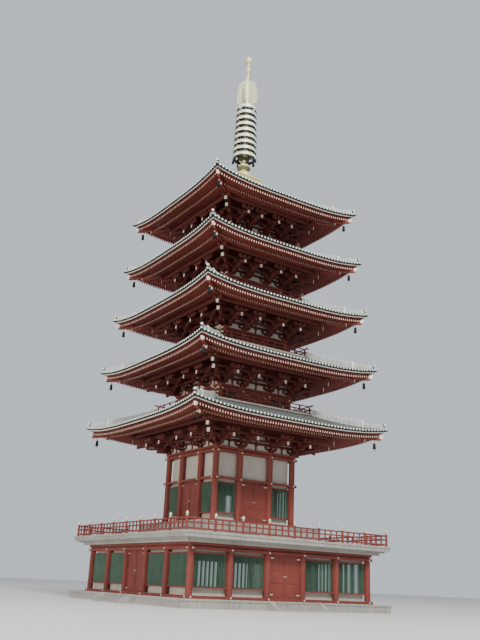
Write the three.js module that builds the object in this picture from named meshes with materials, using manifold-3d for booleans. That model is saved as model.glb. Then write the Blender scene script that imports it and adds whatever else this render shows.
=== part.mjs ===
// A five-storey pagoda on a podium hall, as a half-size model of the real tower.
// All sizes below are metres of the real building. The last step of each piece turns
// them into millimetres of the model.
import * as THREE from "three";
import { mergeVertices } from "three/addons/utils/BufferGeometryUtils.js";
import Module from "manifold-3d";

const wasm = await Module();
wasm.setup();

// Scale of the model, and the open joint left between pieces that touch
const modelMillimetres = 500;
const seam = 0.0008;

// The five roofs, lowest first: half width and height of the eave line at its corners
const eaveHalves = [9.2, 8.62, 8.12, 7.72, 7.39];
const eaveCorners = [14.28, 19.47, 24.56, 29.55, 34.5];
const topLevel = eaveHalves.length - 1;

// Eave curve: the middle of a side sags below its corners and bows in between them
const eaveSag = 0.51;
const eaveSagPower = 3.5;
const eaveBow = 0.11;
const eaveBowPower = 6;
const eaveStations = [-1, -0.8, -0.4, 0.4, 0.8];

// Eave section: setbacks from the eave line, and depths below it
const eaveBoardTop = 0.07;
const tileEdge = { overhang: 0.08, top: 0.33 };
const flyingRafter = { setback: 0.23, bottom: 0.36, top: 0.2 };
const baseRafter = { setback: 1.3, bottom: 0.37, top: 0.19, slope: 0.28, depth: 0.2 };
const hipRafter = {
  width: 0.32,
  noseSetback: 0.12,
  noseBottom: 0.62,
  noseTop: 0.22,
  kneeSetback: 1.2,
  kneeBottom: 0.85,
  kneeTop: 0.56,
  rootBottom: 0.2,
};

// Roof surface and the ridges on its hips
const roofRiseAboveCorner = 1.36;
const roofConcavity = 0.3;
const topRoof = { half: 1.1, height: 38, concavity: 0.4, mastHole: 0.3, thickness: 0.45 };
const hipRidge = {
  width: 0.34,
  height: 0.42,
  thinHeight: 0.24,
  thinLength: 1.4,
  endSetback: 0.1,
  depth: 0.12,
};

// Tower storeys: columns on a square that shrinks by the same step each storey
const columnHalfLowest = 3.8;
const columnHalfStep = 0.35;
const middleColumnRatio = 0.395;
const columnRadiusLowest = 0.25;
const columnRadiusUpper = 0.19;
const columnSides = 6;
const plateBelowCorner = 2.15;
const plate = { reach: 0.25, height: 0.16 };
const headBeam = { height: 0.3, outside: 0.26 };
const sillBeam = { height: 0.2, outside: 0.3 };
const wallThickness = 0.14;
const doorLeaf = { inside: 0.05, outside: 0.04 };
const lowestDoorHeight = 3.3;
const windowInset = { side: 0.04, bottom: 0.18, top: 0.08 };

// Three-step brackets, and the tail rafters that carry the eave purlin
const bracket = {
  width: 0.24,
  stepReach: 1.5,
  stepUnder: 0.25,
  tailReach: 2.45,
  tailBottom: 0.41,
  tailDepth: 0.28,
  tailSlope: 0.28,
};
const purlin = { reach: 2.3, half: 0.15, height: 0.35 };
const wallBeam = { half: 0.12 };

// Balconies
const balconyReach = 1.5;
const balconyLip = 0.1;
const floorAboveCorner = 1.5;
const railing = { setback: 0.14, half: 0.055, top: 0.74, foot: 0.14, crossing: 0.34 };
const railingPosts = [-1, 0];

// Wind bells under the corners
const bell = { setback: 0.5, drop: 0.94, height: 0.42, radius: 0.13, shoulder: 0.09, sides: 6 };

// Podium hall, terrace and the stone platform that the tower stands on
const plinth = { half: 9.5, height: 0.6, steps: 3, stepRun: 0.34, stepHalf: 2.1 };
const hallColumns = [-8.2, -4.92, -1.64, 1.64, 4.92, 8.2];
const hallColumnRadius = 0.24;
const terrace = { underside: 4.3, top: 5, half: 9.5, corniceHalf: 8.9, corniceHeight: 0.3 };
const platform = { half: 5.4, height: 1.2, steps: 7, stepRun: 0.3, stepHalf: 1.5 };
const terraceRailing = { half: 9.3, bar: 0.07, top: 1, foot: 0.3 };
const terracePosts = [-1, -0.5, 0, 0.5];

// Finial
const basin = { half: 1.14, corniceHalf: 1.32, height: 0.87, corniceHeight: 0.2, baseHeight: 0.1 };
const bowl = { radius: 0.84, height: 1.22 };
const lotus = { radius: 0.74, height: 0.62 };
const mast = { radius: 0.13, hub: 0.2, sides: 6 };
const rings = {
  count: 9,
  lowest: 41.4,
  spacing: 0.69,
  lowestRadius: 1.16,
  highestRadius: 0.98,
  height: 0.26,
  rim: 0.08,
  spoke: 0.05,
};
const flame = { bottom: 47.65, top: 50.5, half: 1, plate: 0.06, sleeve: 0.22, sleeveTop: 50.2 };
const dragonWheel = { middle: 51.7, radius: 0.29 };
const jewel = { bottom: 52.5, radius: 0.36, top: 53.32 };
const turnedSides = 12;
const smallTurnedSides = 6;

// Outlines of the turned pieces as shares of their radius and height, foot first
const bowlOutline = [[1, 0], [0.98, 0.5], [0.83, 0.78], [0.6, 0.92], [0.35, 1]];
const lotusOutline = [[0.35, 0], [0.5, 0.15], [1, 0.8], [0.62, 0.86], [0.5, 1]];
const wheelOutline = [[0.6, 0.1], [1, 0.38], [1, 0.62], [0.6, 0.9]];
const jewelOutline = [[0.4, 0], [0.85, 0.25], [1, 0.45], [0.7, 0.7], [0.2, 0.9]];

const finishes = {
  stone: new THREE.MeshStandardMaterial({ color: 0x9a978f, roughness: 0.9, metalness: 0 }),
  vermilion: new THREE.MeshStandardMaterial({ color: 0x8e2f24, roughness: 0.55, metalness: 0 }),
  plaster: new THREE.MeshStandardMaterial({ color: 0xd9d2c2, roughness: 0.9, metalness: 0 }),
  tile: new THREE.MeshStandardMaterial({ color: 0x6f767a, roughness: 0.6, metalness: 0 }),
  gold: new THREE.MeshStandardMaterial({ color: 0xc9a552, roughness: 0.35, metalness: 1 }),
};

// Solids made from three.js geometry

function solid(geometry) {
  const bare = geometry.clone();
  bare.deleteAttribute("normal");
  bare.deleteAttribute("uv");
  const merged = mergeVertices(bare, 1e-5);
  return new wasm.Manifold(new wasm.Mesh({
    numProp: 3,
    vertProperties: new Float32Array(merged.attributes.position.array),
    triVerts: new Uint32Array(merged.index.array),
  }));
}

function join(pieces) {
  return pieces.reduce((sum, piece) => sum.add(piece));
}

function cut(body, tools) {
  return tools.reduce((rest, tool) => rest.subtract(tool), body);
}

function box(x0, x1, y0, y1, z0, z1) {
  const geometry = new THREE.BoxGeometry(x1 - x0, y1 - y0, z1 - z0);
  geometry.translate((x0 + x1) / 2, (y0 + y1) / 2, (z0 + z1) / 2);
  return solid(geometry);
}

function squareSlab(half, z0, z1) {
  return box(-half, half, -half, half, z0, z1);
}

function squareRing(outerHalf, innerHalf, z0, z1) {
  return squareSlab(outerHalf, z0, z1).subtract(squareSlab(innerHalf, z0 - 1, z1 + 1));
}

function post(x, y, radius, z0, z1, sides) {
  const geometry = new THREE.CylinderGeometry(radius, radius, z1 - z0, sides);
  geometry.rotateY(Math.PI / sides);
  geometry.rotateX(Math.PI / 2);
  geometry.translate(x, y, (z0 + z1) / 2);
  return solid(geometry);
}

function turned(points, sides) {
  const profile = points.map(([radius, z]) => new THREE.Vector2(radius, z));
  const geometry = new THREE.LatheGeometry(profile, sides);
  geometry.rotateX(Math.PI / 2);
  return solid(geometry);
}

function turnedFrom(outline, radius, z0, z1, sides) {
  const points = outline.map(([reach, share]) => [reach * radius, z0 + share * (z1 - z0)]);
  return turned([[0, z0], ...points, [0, z1]], sides);
}

// The same piece on all four sides of the tower, made on the front, which faces -Y
function onFourSides(piece) {
  return [0, 1, 2, 3].map((quarter) => piece.rotate([0, 0, 90 * quarter]));
}

// A bar that runs straight out of the front, from its side view of [distance from axis, height]
const outwardView = new THREE.Matrix4().makeBasis(
  new THREE.Vector3(0, -1, 0),
  new THREE.Vector3(0, 0, 1),
  new THREE.Vector3(-1, 0, 0),
);

function outwardBar(sideView, width, x = 0) {
  const shape = new THREE.Shape(sideView.map(([distance, z]) => new THREE.Vector2(distance, z)));
  const geometry = new THREE.ExtrudeGeometry(shape, { depth: width, bevelEnabled: false });
  geometry.translate(0, 0, -width / 2);
  geometry.applyMatrix4(outwardView);
  geometry.translate(x, 0, 0);
  return solid(geometry);
}

// The same bar on the diagonal, with distances measured as on the sides
function diagonalBar(sideView, width) {
  const stretched = sideView.map(([distance, z]) => [distance * Math.SQRT2, z]);
  return outwardBar(stretched, width).rotate([0, 0, 45]);
}

// Sizes of each tower storey, worked out from the driving dimensions

function towerStorey(level) {
  const columnHalf = columnHalfLowest - columnHalfStep * level;
  const middle = columnHalf * middleColumnRatio;
  const corner = eaveCorners[level];
  const eave = corner - eaveSag;
  const tip = eaveHalves[level] - baseRafter.setback;
  const lowest = level === 0;
  const floor = lowest ? terrace.top + platform.height : eaveCorners[level - 1] + floorAboveCorner;
  const plateTop = corner - plateBelowCorner;
  const plateBottom = plateTop - plate.height;
  const panelTop = plateBottom - headBeam.height;
  const raftersAt = (distance) => eave - baseRafter.bottom + baseRafter.slope * (tip - distance);
  return {
    level,
    columnHalf,
    columns: [-columnHalf, -middle, middle, columnHalf],
    radius: lowest ? columnRadiusLowest : columnRadiusUpper,
    corner,
    eaveHalf: eaveHalves[level],
    eave,
    floor,
    plateTop,
    plateBottom,
    panelTop,
    doorTop: lowest ? floor + lowestDoorHeight : panelTop,
    wallOuter: columnHalf - plate.reach - seam,
    wallInner: columnHalf - plate.reach - wallThickness,
    wallTop: raftersAt(columnHalf - plate.reach) - seam,
    raftersAt,
  };
}

const storeys = eaveHalves.map((half, level) => towerStorey(level));

const hall = {
  columnHalf: Math.max(...hallColumns),
  columns: hallColumns,
  radius: hallColumnRadius,
  floor: plinth.height,
  plateTop: terrace.underside - seam,
  plateBottom: terrace.underside - seam - plate.height,
  panelTop: terrace.underside - seam - plate.height - headBeam.height,
  doorTop: terrace.underside - seam - plate.height - headBeam.height,
  wallOuter: Math.max(...hallColumns) - plate.reach - seam,
  wallInner: Math.max(...hallColumns) - plate.reach - wallThickness,
  wallTop: terrace.underside - seam,
};

// Height that the eave curve adds at a distance x along the side
function eaveLift(storey, x) {
  return eaveSag * Math.pow(Math.min(1, Math.abs(x) / storey.eaveHalf), eaveSagPower);
}

// A closed ring that follows the eaves, from its section of [distance from axis, height].
// Each face is split from its outer edge, so that a roof and the deck under it fit.
function eaveRing(storey, section) {
  const positions = [];
  for (let side = 0; side < 4; side += 1) {
    const turn = side * Math.PI / 2;
    for (const share of eaveStations) {
      for (const [distance, z] of section) {
        const bow = eaveBow * (1 - share * share) * Math.pow(distance / storey.eaveHalf, eaveBowPower);
        const x = distance * share;
        const y = bow - distance;
        positions.push(
          x * Math.cos(turn) - y * Math.sin(turn),
          x * Math.sin(turn) + y * Math.cos(turn),
          z + eaveLift(storey, x),
        );
      }
    }
  }
  const around = 4 * eaveStations.length;
  const count = section.length;
  const faces = [];
  for (let station = 0; station < around; station += 1) {
    const next = (station + 1) % around;
    for (let point = 0; point < count; point += 1) {
      const after = (point + 1) % count;
      const a = station * count + point;
      const b = next * count + point;
      const c = next * count + after;
      const d = station * count + after;
      const inward = section[point][0] >= section[after][0];
      faces.push(...(inward ? [a, b, c, a, c, d] : [a, b, d, b, c, d]));
    }
  }
  const geometry = new THREE.BufferGeometry();
  geometry.setAttribute("position", new THREE.Float32BufferAttribute(positions, 3));
  geometry.setIndex(faces);
  return solid(geometry);
}

// Tiled roof with the ridges on its hips

function roofInnerHalf(storey) {
  return storey.level === topLevel ? topRoof.half : balconyHalf(storeys[storey.level + 1]) - balconyLip;
}

function roofTopAt(storey, distance) {
  const highest = storey.level === topLevel;
  const high = highest ? topRoof.height : storey.corner + roofRiseAboveCorner;
  const concavity = highest ? topRoof.concavity : roofConcavity;
  const low = storey.eave + tileEdge.top;
  const share = (storey.eaveHalf - distance) / (storey.eaveHalf - roofInnerHalf(storey));
  return low + (high - low) * ((1 - concavity) * share + concavity * share * share);
}

function roof(storey) {
  const inner = roofInnerHalf(storey);
  const edge = storey.eaveHalf + tileEdge.overhang;
  const slope = [1 / 3, 2 / 3, 1].map((share) => {
    const distance = storey.eaveHalf + (inner - storey.eaveHalf) * share;
    return [distance, roofTopAt(storey, distance)];
  });
  const deckInner = storey.raftersAt(storey.wallInner) + baseRafter.depth;
  const top = roofTopAt(storey, inner);
  const attic = storey.level === topLevel
    ? [
      [topRoof.mastHole, top],
      [topRoof.mastHole, top - topRoof.thickness],
      [storey.wallInner, deckInner + topRoof.thickness],
    ]
    : [[storey.wallInner, top]];
  const section = [
    [storey.wallInner, deckInner + seam],
    [storey.eaveHalf, storey.eave + eaveBoardTop + seam],
    [edge, storey.eave + eaveBoardTop + seam],
    [edge, storey.eave + tileEdge.top],
    ...slope,
    ...attic,
  ];
  const lid = squareSlab(storey.eaveHalf, top, top + eaveSag);
  const ridgeStart = Math.max(inner + balconyLip, basin.corniceHalf) + hipRidge.endSetback / 2;
  return join([
    eaveRing(storey, section).subtract(lid),
    ...onFourSides(hipRidgeBar(storey, ridgeStart)),
  ]);
}

function hipRidgeBar(storey, start) {
  const end = storey.eaveHalf - hipRidge.endSetback;
  const step = end - hipRidge.thinLength;
  const middle = (start + step) / 2;
  const along = (distance, above) => {
    return [distance, roofTopAt(storey, distance) + eaveLift(storey, distance) + above];
  };
  return diagonalBar([
    along(start, -hipRidge.depth),
    along(middle, -hipRidge.depth),
    along(step, -hipRidge.depth),
    along(end, -hipRidge.depth),
    along(end, hipRidge.thinHeight),
    along(step, hipRidge.thinHeight),
    along(step, hipRidge.height),
    along(middle, hipRidge.height),
    along(start, hipRidge.height),
  ], hipRidge.width);
}

// Rafter deck with its eave boards, hip rafters and the bells that hang from them

function hipRafterBar(storey) {
  const nose = storey.eaveHalf - hipRafter.noseSetback;
  const knee = storey.eaveHalf - hipRafter.kneeSetback;
  const root = storey.columnHalf + wallBeam.half + seam;
  const rootUnder = storey.raftersAt(root) + eaveLift(storey, root);
  const seat = storey.columnHalf + purlin.reach + purlin.half;
  return diagonalBar([
    [root, rootUnder - hipRafter.rootBottom],
    [seat, purlinTop(storey) + seam],
    [knee, storey.corner - hipRafter.kneeBottom],
    [knee, storey.corner - hipRafter.kneeTop],
    [nose, storey.corner - hipRafter.noseBottom],
    [nose, storey.corner - hipRafter.noseTop],
    [root, rootUnder + baseRafter.depth / 2],
  ], hipRafter.width);
}

function windBell(storey) {
  const distance = storey.eaveHalf - bell.setback;
  const shoulder = storey.corner - bell.drop;
  const mouth = shoulder - bell.height;
  const hook = storey.corner - (hipRafter.noseBottom + hipRafter.noseTop) / 2;
  return turned([
    [0, mouth],
    [bell.radius, mouth],
    [bell.shoulder, shoulder],
    [0, hook],
  ], bell.sides).translate([-distance, -distance, 0]);
}

function eaves(storey) {
  const half = storey.eaveHalf;
  const under = storey.raftersAt(storey.wallInner);
  const flyingTip = half - flyingRafter.setback;
  const baseTip = half - baseRafter.setback;
  const section = [
    [storey.wallInner, under],
    [baseTip, storey.eave - baseRafter.bottom],
    [baseTip, storey.eave - baseRafter.top],
    [flyingTip, storey.eave - flyingRafter.bottom],
    [flyingTip, storey.eave - flyingRafter.top],
    [half, storey.eave + eaveBoardTop],
    [storey.wallInner, under + baseRafter.depth],
  ];
  return join([
    eaveRing(storey, section),
    ...onFourSides(hipRafterBar(storey)),
    ...onFourSides(windBell(storey)),
  ]);
}

// Bracket sets between the wall plate and the rafters

function purlinTop(storey) {
  return storey.raftersAt(storey.columnHalf + purlin.reach + purlin.half) - seam;
}

function bracketArm(storey, start) {
  const base = storey.plateTop + seam;
  const wall = storey.columnHalf;
  const step = bracket.stepReach;
  const tailAt = (reach) => base + bracket.tailBottom + bracket.tailSlope * (bracket.tailReach - reach);
  const seatTop = purlinTop(storey) - purlin.height;
  const blockOut = bracket.tailReach;
  const blockIn = purlin.reach - purlin.half;
  return [
    [wall + start, base],
    [wall + step, base + bracket.stepUnder],
    [wall + step, tailAt(step)],
    [wall + blockOut, tailAt(blockOut)],
    [wall + blockOut, seatTop],
    [wall + blockIn, seatTop],
    [wall + blockIn, tailAt(blockIn) + bracket.tailDepth],
    [wall + start, tailAt(start) + bracket.tailDepth],
  ];
}

function brackets(storey) {
  const half = storey.columnHalf;
  const corner = bracketArm(storey, wallBeam.half - seam);
  const middle = bracketArm(storey, -wallBeam.half);
  const arms = storey.columns.flatMap((x) => {
    const sideView = Math.abs(x) < half ? middle : corner;
    return onFourSides(outwardBar(sideView, bracket.width, x));
  });
  const beam = squareRing(
    half + wallBeam.half,
    half - wallBeam.half,
    storey.plateTop + seam,
    storey.raftersAt(half + wallBeam.half) - seam,
  );
  return join([beam, ...onFourSides(diagonalBar(corner, bracket.width)), ...arms]);
}

function eavePurlin(storey) {
  const distance = storey.columnHalf + purlin.reach;
  const top = purlinTop(storey);
  return squareRing(distance + purlin.half, distance - purlin.half, top - purlin.height + seam, top);
}

// Columns, beams and closed doors of the hall or a storey

function beamRing(level, outside, z0, z1) {
  return squareRing(level.columnHalf + outside, level.columnHalf - plate.reach, z0, z1);
}

function columnsAround(level, radius, z0, z1) {
  const places = level.columns.slice(0, -1);
  return places.flatMap((x) => onFourSides(post(x, -level.columnHalf, radius, z0, z1, columnSides)));
}

function doorColumn(level) {
  return Math.min(...level.columns.filter((x) => x > 0));
}

function frame(level) {
  const foot = level.floor + seam;
  const beams = [
    beamRing(level, plate.reach, level.plateBottom, level.plateTop),
    beamRing(level, headBeam.outside, level.panelTop, level.plateBottom),
    beamRing(level, sillBeam.outside, foot, level.floor + sillBeam.height),
  ];
  if (level.doorTop < level.panelTop) {
    beams.push(beamRing(level, sillBeam.outside, level.doorTop, level.doorTop + sillBeam.height));
  }
  const door = box(
    -doorColumn(level),
    doorColumn(level),
    -level.columnHalf - doorLeaf.outside,
    -level.columnHalf + doorLeaf.inside,
    foot,
    level.doorTop + seam,
  );
  return join([
    ...columnsAround(level, level.radius, foot, level.plateBottom),
    ...beams,
    ...onFourSides(door),
  ]);
}

// Walls behind the frame, with window and door openings cut through

function walls(level) {
  const sill = level.floor + sillBeam.height;
  const head = level.doorTop;
  const height = head - sill;
  const ring = squareRing(level.wallOuter, level.wallInner, level.floor + seam, level.wallTop);
  const openings = level.columns.slice(0, -1).map((left, bay) => {
    const right = level.columns[bay + 1];
    const isDoor = left < 0 && right > 0;
    const side = level.radius + (isDoor ? 0 : windowInset.side);
    return box(
      left + side,
      right - side,
      -level.columnHalf,
      -level.wallInner + seam,
      isDoor ? sill : sill + height * windowInset.bottom,
      isDoor ? head : head - height * windowInset.top,
    );
  });
  return cut(ring, openings.flatMap(onFourSides));
}

// Floor slab with its balcony edge, and the railing around it

function balconyHalf(storey) {
  return storey.columnHalf + balconyReach;
}

function balcony(storey) {
  const roofBelow = eaveCorners[storey.level - 1] + roofRiseAboveCorner;
  return squareSlab(balconyHalf(storey), roofBelow + seam, storey.floor);
}

function railingRing(half, bar, posts, floor, foot, top, crossing) {
  const level = floor + seam;
  const rail = (reach, z0, z1) => onFourSides(
    box(-half - reach, half + reach, -half - bar, -half + bar, z0, z1),
  );
  const uprights = posts.flatMap((share) => onFourSides(
    box(share * half - bar, share * half + bar, -half - bar, -half + bar, level, floor + top - bar),
  ));
  return join([
    ...rail(bar, level, floor + foot),
    ...rail(crossing, floor + top - 2 * bar, floor + top),
    ...uprights,
  ]);
}

function balconyRailing(storey) {
  const half = balconyHalf(storey) - railing.setback;
  const { foot, top, crossing } = railing;
  return railingRing(half, railing.half, railingPosts, storey.floor, foot, top, crossing);
}

// Podium: stone plinth, terrace with its railing, and the platform of the tower

function stairs(half, flight, z0, z1) {
  const rise = (z1 - z0) / (flight.steps + 1);
  const sideView = [[half - flight.stepRun, z0]];
  for (let step = 0; step < flight.steps; step += 1) {
    const distance = half + flight.stepRun * (flight.steps - step);
    sideView.push([distance, z0 + rise * step], [distance, z0 + rise * (step + 1)]);
  }
  sideView.push([half, z0 + rise * flight.steps], [half - flight.stepRun, z0 + rise * flight.steps]);
  return outwardBar(sideView, 2 * flight.stepHalf);
}

function podiumPlinth() {
  const flight = stairs(plinth.half, plinth, 0, plinth.height);
  return join([squareSlab(plinth.half, 0, plinth.height), ...onFourSides(flight)]);
}

function podiumTerrace() {
  return join([
    squareSlab(terrace.corniceHalf, terrace.underside, terrace.underside + terrace.corniceHeight),
    squareSlab(terrace.half, terrace.underside + terrace.corniceHeight, terrace.top),
  ]);
}

function podiumRailing() {
  const { half, bar, foot, top } = terraceRailing;
  return railingRing(half, bar, terracePosts, terrace.top, foot, top, bar);
}

function towerPlatform() {
  const foot = terrace.top + seam;
  const top = terrace.top + platform.height;
  return join([
    squareSlab(platform.half, foot, top),
    ...onFourSides(stairs(platform.half, platform, foot, top)),
  ]);
}

// Finial: dew basin, inverted bowl, lotus, mast with nine rings, water flame, wheel and jewel

const basinTop = topRoof.height + seam + basin.height;
const bowlTop = basinTop + seam + bowl.height;
const lotusTop = bowlTop + seam + lotus.height;

function dewBasin() {
  const foot = topRoof.height + seam;
  return join([
    squareSlab(basin.half, foot, basinTop),
    squareSlab(basin.corniceHalf, basinTop - basin.corniceHeight, basinTop),
    squareSlab(basin.corniceHalf, foot, foot + basin.baseHeight),
  ]);
}

function mastWithRings() {
  const foot = lotusTop + seam;
  const pieces = [
    squareSlab(mast.hub, foot, flame.bottom - seam),
    post(0, 0, mast.radius, foot, jewel.bottom, mast.sides),
  ];
  for (let ring = 0; ring < rings.count; ring += 1) {
    const share = ring / (rings.count - 1);
    const radius = THREE.MathUtils.lerp(rings.lowestRadius, rings.highestRadius, share);
    const z = rings.lowest + rings.spacing * ring;
    pieces.push(turned([
      [radius - rings.rim, z - rings.height / 2],
      [radius, z - rings.height / 2],
      [radius, z + rings.height / 2],
      [radius - rings.rim, z + rings.height / 2],
      [radius - rings.rim, z - rings.height / 2],
    ], turnedSides));
    const reach = radius - rings.rim / 2;
    const half = rings.spoke;
    pieces.push(...onFourSides(box(-half, half, -reach, -mast.hub + seam, z - half, z + half)));
  }
  return join(pieces);
}

// The flame plates stand over the corners
const flameTurn = 45;

// Side view of one flame plate as [distance from axis, share of its height]
const flameOutline = [
  [0.14, 0],
  [0.5, 0],
  [0.93, 0.03],
  [1, 0.3],
  [0.95, 0.6],
  [0.83, 0.8],
  [0.68, 0.93],
  [0.4, 1],
  [0.14, 0.97],
];

function waterFlame() {
  const height = flame.top - flame.bottom;
  const sideView = flameOutline.map(([reach, share]) => {
    return [reach * flame.half, flame.bottom + share * height];
  });
  const plates = onFourSides(outwardBar(sideView, flame.plate)).map((plate) => {
    return plate.rotate([0, 0, flameTurn]);
  });
  const sleeve = post(0, 0, flame.sleeve, flame.bottom, flame.sleeveTop, mast.sides);
  const bore = post(0, 0, mast.radius + seam, flame.bottom - 1, flame.top + 1, mast.sides);
  return join([...plates, sleeve]).subtract(bore);
}

function wheelOnMast() {
  const { middle, radius } = dragonWheel;
  const ball = turnedFrom(wheelOutline, radius, middle - radius, middle + radius, smallTurnedSides);
  return ball.subtract(post(0, 0, mast.radius + seam, middle - 1, middle + 1, mast.sides));
}

// The scene graph

const pagoda = new THREE.Group();

function addPiece(name, shape, finish) {
  const { vertProperties, triVerts } = shape.getMesh();
  const geometry = new THREE.BufferGeometry();
  geometry.setAttribute("position", new THREE.BufferAttribute(vertProperties, 3));
  geometry.setIndex(new THREE.BufferAttribute(triVerts, 1));
  geometry.scale(modelMillimetres, modelMillimetres, modelMillimetres);
  geometry.computeVertexNormals();
  const mesh = new THREE.Mesh(geometry, finish);
  mesh.name = name;
  pagoda.add(mesh);
}

addPiece("podium_plinth", podiumPlinth(), finishes.stone);
addPiece("podium_walls", walls(hall), finishes.plaster);
addPiece("podium_frame", frame(hall), finishes.vermilion);
addPiece("podium_terrace", podiumTerrace(), finishes.stone);
addPiece("podium_railing", podiumRailing(), finishes.vermilion);
addPiece("tower_platform", towerPlatform(), finishes.stone);

for (const storey of storeys) {
  const number = storey.level + 1;
  if (storey.level > 0) {
    addPiece(`balcony_${number}`, balcony(storey), finishes.vermilion);
    addPiece(`balcony_railing_${number}`, balconyRailing(storey), finishes.vermilion);
  }
  addPiece(`walls_${number}`, walls(storey), finishes.plaster);
  addPiece(`frame_${number}`, frame(storey), finishes.vermilion);
  addPiece(`brackets_${number}`, brackets(storey), finishes.vermilion);
  addPiece(`eave_purlin_${number}`, eavePurlin(storey), finishes.vermilion);
  addPiece(`eaves_${number}`, eaves(storey), finishes.vermilion);
  addPiece(`roof_${number}`, roof(storey), finishes.tile);
}

addPiece("dew_basin", dewBasin(), finishes.gold);
addPiece(
  "inverted_bowl",
  turnedFrom(bowlOutline, bowl.radius, basinTop + seam, bowlTop, turnedSides),
  finishes.gold,
);
addPiece(
  "lotus_flower",
  turnedFrom(lotusOutline, lotus.radius, bowlTop + seam, lotusTop, turnedSides),
  finishes.gold,
);
addPiece("mast_and_rings", mastWithRings(), finishes.gold);
addPiece("water_flame", waterFlame(), finishes.gold);
addPiece("dragon_wheel", wheelOnMast(), finishes.gold);
addPiece(
  "finial_jewel",
  turnedFrom(jewelOutline, jewel.radius, jewel.bottom + seam, jewel.top, smallTurnedSides),
  finishes.gold,
);

export default pagoda;
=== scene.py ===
# A five-storey pagoda on its podium hall, dressed with tiles, rafters, brackets and railings
import math
from types import SimpleNamespace

import bpy
from mathutils import Matrix, Vector


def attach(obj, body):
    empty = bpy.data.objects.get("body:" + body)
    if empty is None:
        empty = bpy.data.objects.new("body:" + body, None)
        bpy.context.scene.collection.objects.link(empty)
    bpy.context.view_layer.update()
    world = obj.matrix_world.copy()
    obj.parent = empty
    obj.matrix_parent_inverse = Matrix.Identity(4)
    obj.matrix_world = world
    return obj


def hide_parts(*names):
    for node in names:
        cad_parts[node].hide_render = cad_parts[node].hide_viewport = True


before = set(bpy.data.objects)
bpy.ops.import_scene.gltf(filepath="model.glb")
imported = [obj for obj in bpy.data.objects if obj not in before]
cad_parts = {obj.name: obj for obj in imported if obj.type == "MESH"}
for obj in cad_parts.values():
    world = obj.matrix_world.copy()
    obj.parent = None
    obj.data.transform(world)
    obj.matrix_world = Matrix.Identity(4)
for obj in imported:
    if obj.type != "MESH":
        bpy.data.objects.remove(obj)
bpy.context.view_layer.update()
print("frame loaded:", len(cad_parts), "nodes")

modelScale = 0.5  # all sizes below are metres of the real tower, and the frame is half its size

tower = {
    "eaveHalf": [9.27, 8.69, 8.19, 7.79, 7.46],
    "eaveCorner": [14.28, 19.47, 24.56, 29.55, 34.5],
    "sag": 0.51,  # how far the middle of an eave lies below its corners
    "sagPower": 3.5,
    "bow": 0.04,  # how far it stands out
    "bowPower": 6,
    "columnHalf": 3.8,
    "columnStep": 0.35,
    "middleColumn": 0.395,
    "columnRadius": [0.25, 0.19, 0.19, 0.19, 0.19],
    "rafterSetback": 1.3,
    "rafterUnder": 0.37,
    "rafterSlope": 0.28,
    "roofRise": 1.36,
    "roofHollow": 0.3,
    "topHalf": 1.1,
    "topHeight": 38.0,
    "topHollow": 0.4,
    "tileTop": 0.2,
    "tileReach": 0.08,
    "balconyReach": 1.5,
    "balconyLip": 0.1,
    "floorRise": 1.5,
    "lowestFloor": 6.2,
    "lowestDoor": 3.3,
    "plateDrop": 2.15,
    "plateReach": 0.25,
    "plateHeight": 0.16,
    "headBeam": 0.3,
    "sillBeam": 0.2,
    "wallThickness": 0.14,
    "purlinReach": 2.3,
    "purlinHalf": 0.15,
    "purlinHeight": 0.35,
    "windowSide": 0.04,
    "windowBottom": 0.18,
    "windowTop": 0.08,
}


def raftersAt(storey, distance):
    tip = storey.eaveHalf - tower["rafterSetback"]
    return storey.eave - tower["rafterUnder"] + tower["rafterSlope"] * (tip - distance)


def eaveLift(storey, x):
    return tower["sag"] * min(1, abs(x) / storey.eaveHalf) ** tower["sagPower"]


def eaveBow(storey, share, distance):
    return tower["bow"] * (1 - share * share) * (distance / storey.eaveHalf) ** tower["bowPower"]


def roofTop(storey, distance):
    low = storey.eave + tower["tileTop"]
    share = (storey.eaveHalf - distance) / (storey.eaveHalf - storey.roofInner)
    return low + (storey.roofHigh - low) * ((1 - storey.hollow) * share + storey.hollow * share * share)


def makeStorey(level):
    highest = level == len(tower["eaveHalf"]) - 1
    columnHalf = tower["columnHalf"] - tower["columnStep"] * level
    corner = tower["eaveCorner"][level]
    floor = tower["eaveCorner"][level - 1] + tower["floorRise"] if level else tower["lowestFloor"]
    plateTop = corner - tower["plateDrop"]
    panelTop = plateTop - tower["plateHeight"] - tower["headBeam"]
    nextHalf = columnHalf - tower["columnStep"] + tower["balconyReach"] - tower["balconyLip"]
    middle = columnHalf * tower["middleColumn"]
    return SimpleNamespace(
        number=level + 1,
        level=level,
        eaveHalf=tower["eaveHalf"][level],
        corner=corner,
        eave=corner - tower["sag"],
        columnHalf=columnHalf,
        columns=[-columnHalf, -middle, middle, columnHalf],
        middle=middle,
        radius=tower["columnRadius"][level],
        floor=floor,
        plateTop=plateTop,
        plateBottom=plateTop - tower["plateHeight"],
        panelTop=panelTop,
        doorTop=panelTop if level else floor + tower["lowestDoor"],
        wallOuter=columnHalf - tower["plateReach"],
        wallInner=columnHalf - tower["plateReach"] - tower["wallThickness"],
        roofInner=tower["topHalf"] if highest else nextHalf,
        roofHigh=tower["topHeight"] if highest else corner + tower["roofRise"],
        hollow=tower["topHollow"] if highest else tower["roofHollow"],
        balconyHalf=columnHalf + tower["balconyReach"],
    )


storeys = [makeStorey(level) for level in range(5)]

# Hand tools: one operator or modifier each, with what it acts on chosen by place

merging = {"turned": 0.0005, "boards": 0.001}  # how near two points lie to become one
quarterTurn = math.pi / 2


def deselectAll():
    bpy.ops.object.select_all(action="DESELECT")


def pick(obj):
    deselectAll()
    obj.select_set(True)
    bpy.context.view_layer.objects.active = obj


def startEdit():
    bpy.ops.object.mode_set(mode="EDIT")


def leaveEdit():
    bpy.ops.object.mode_set(mode="OBJECT")


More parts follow.
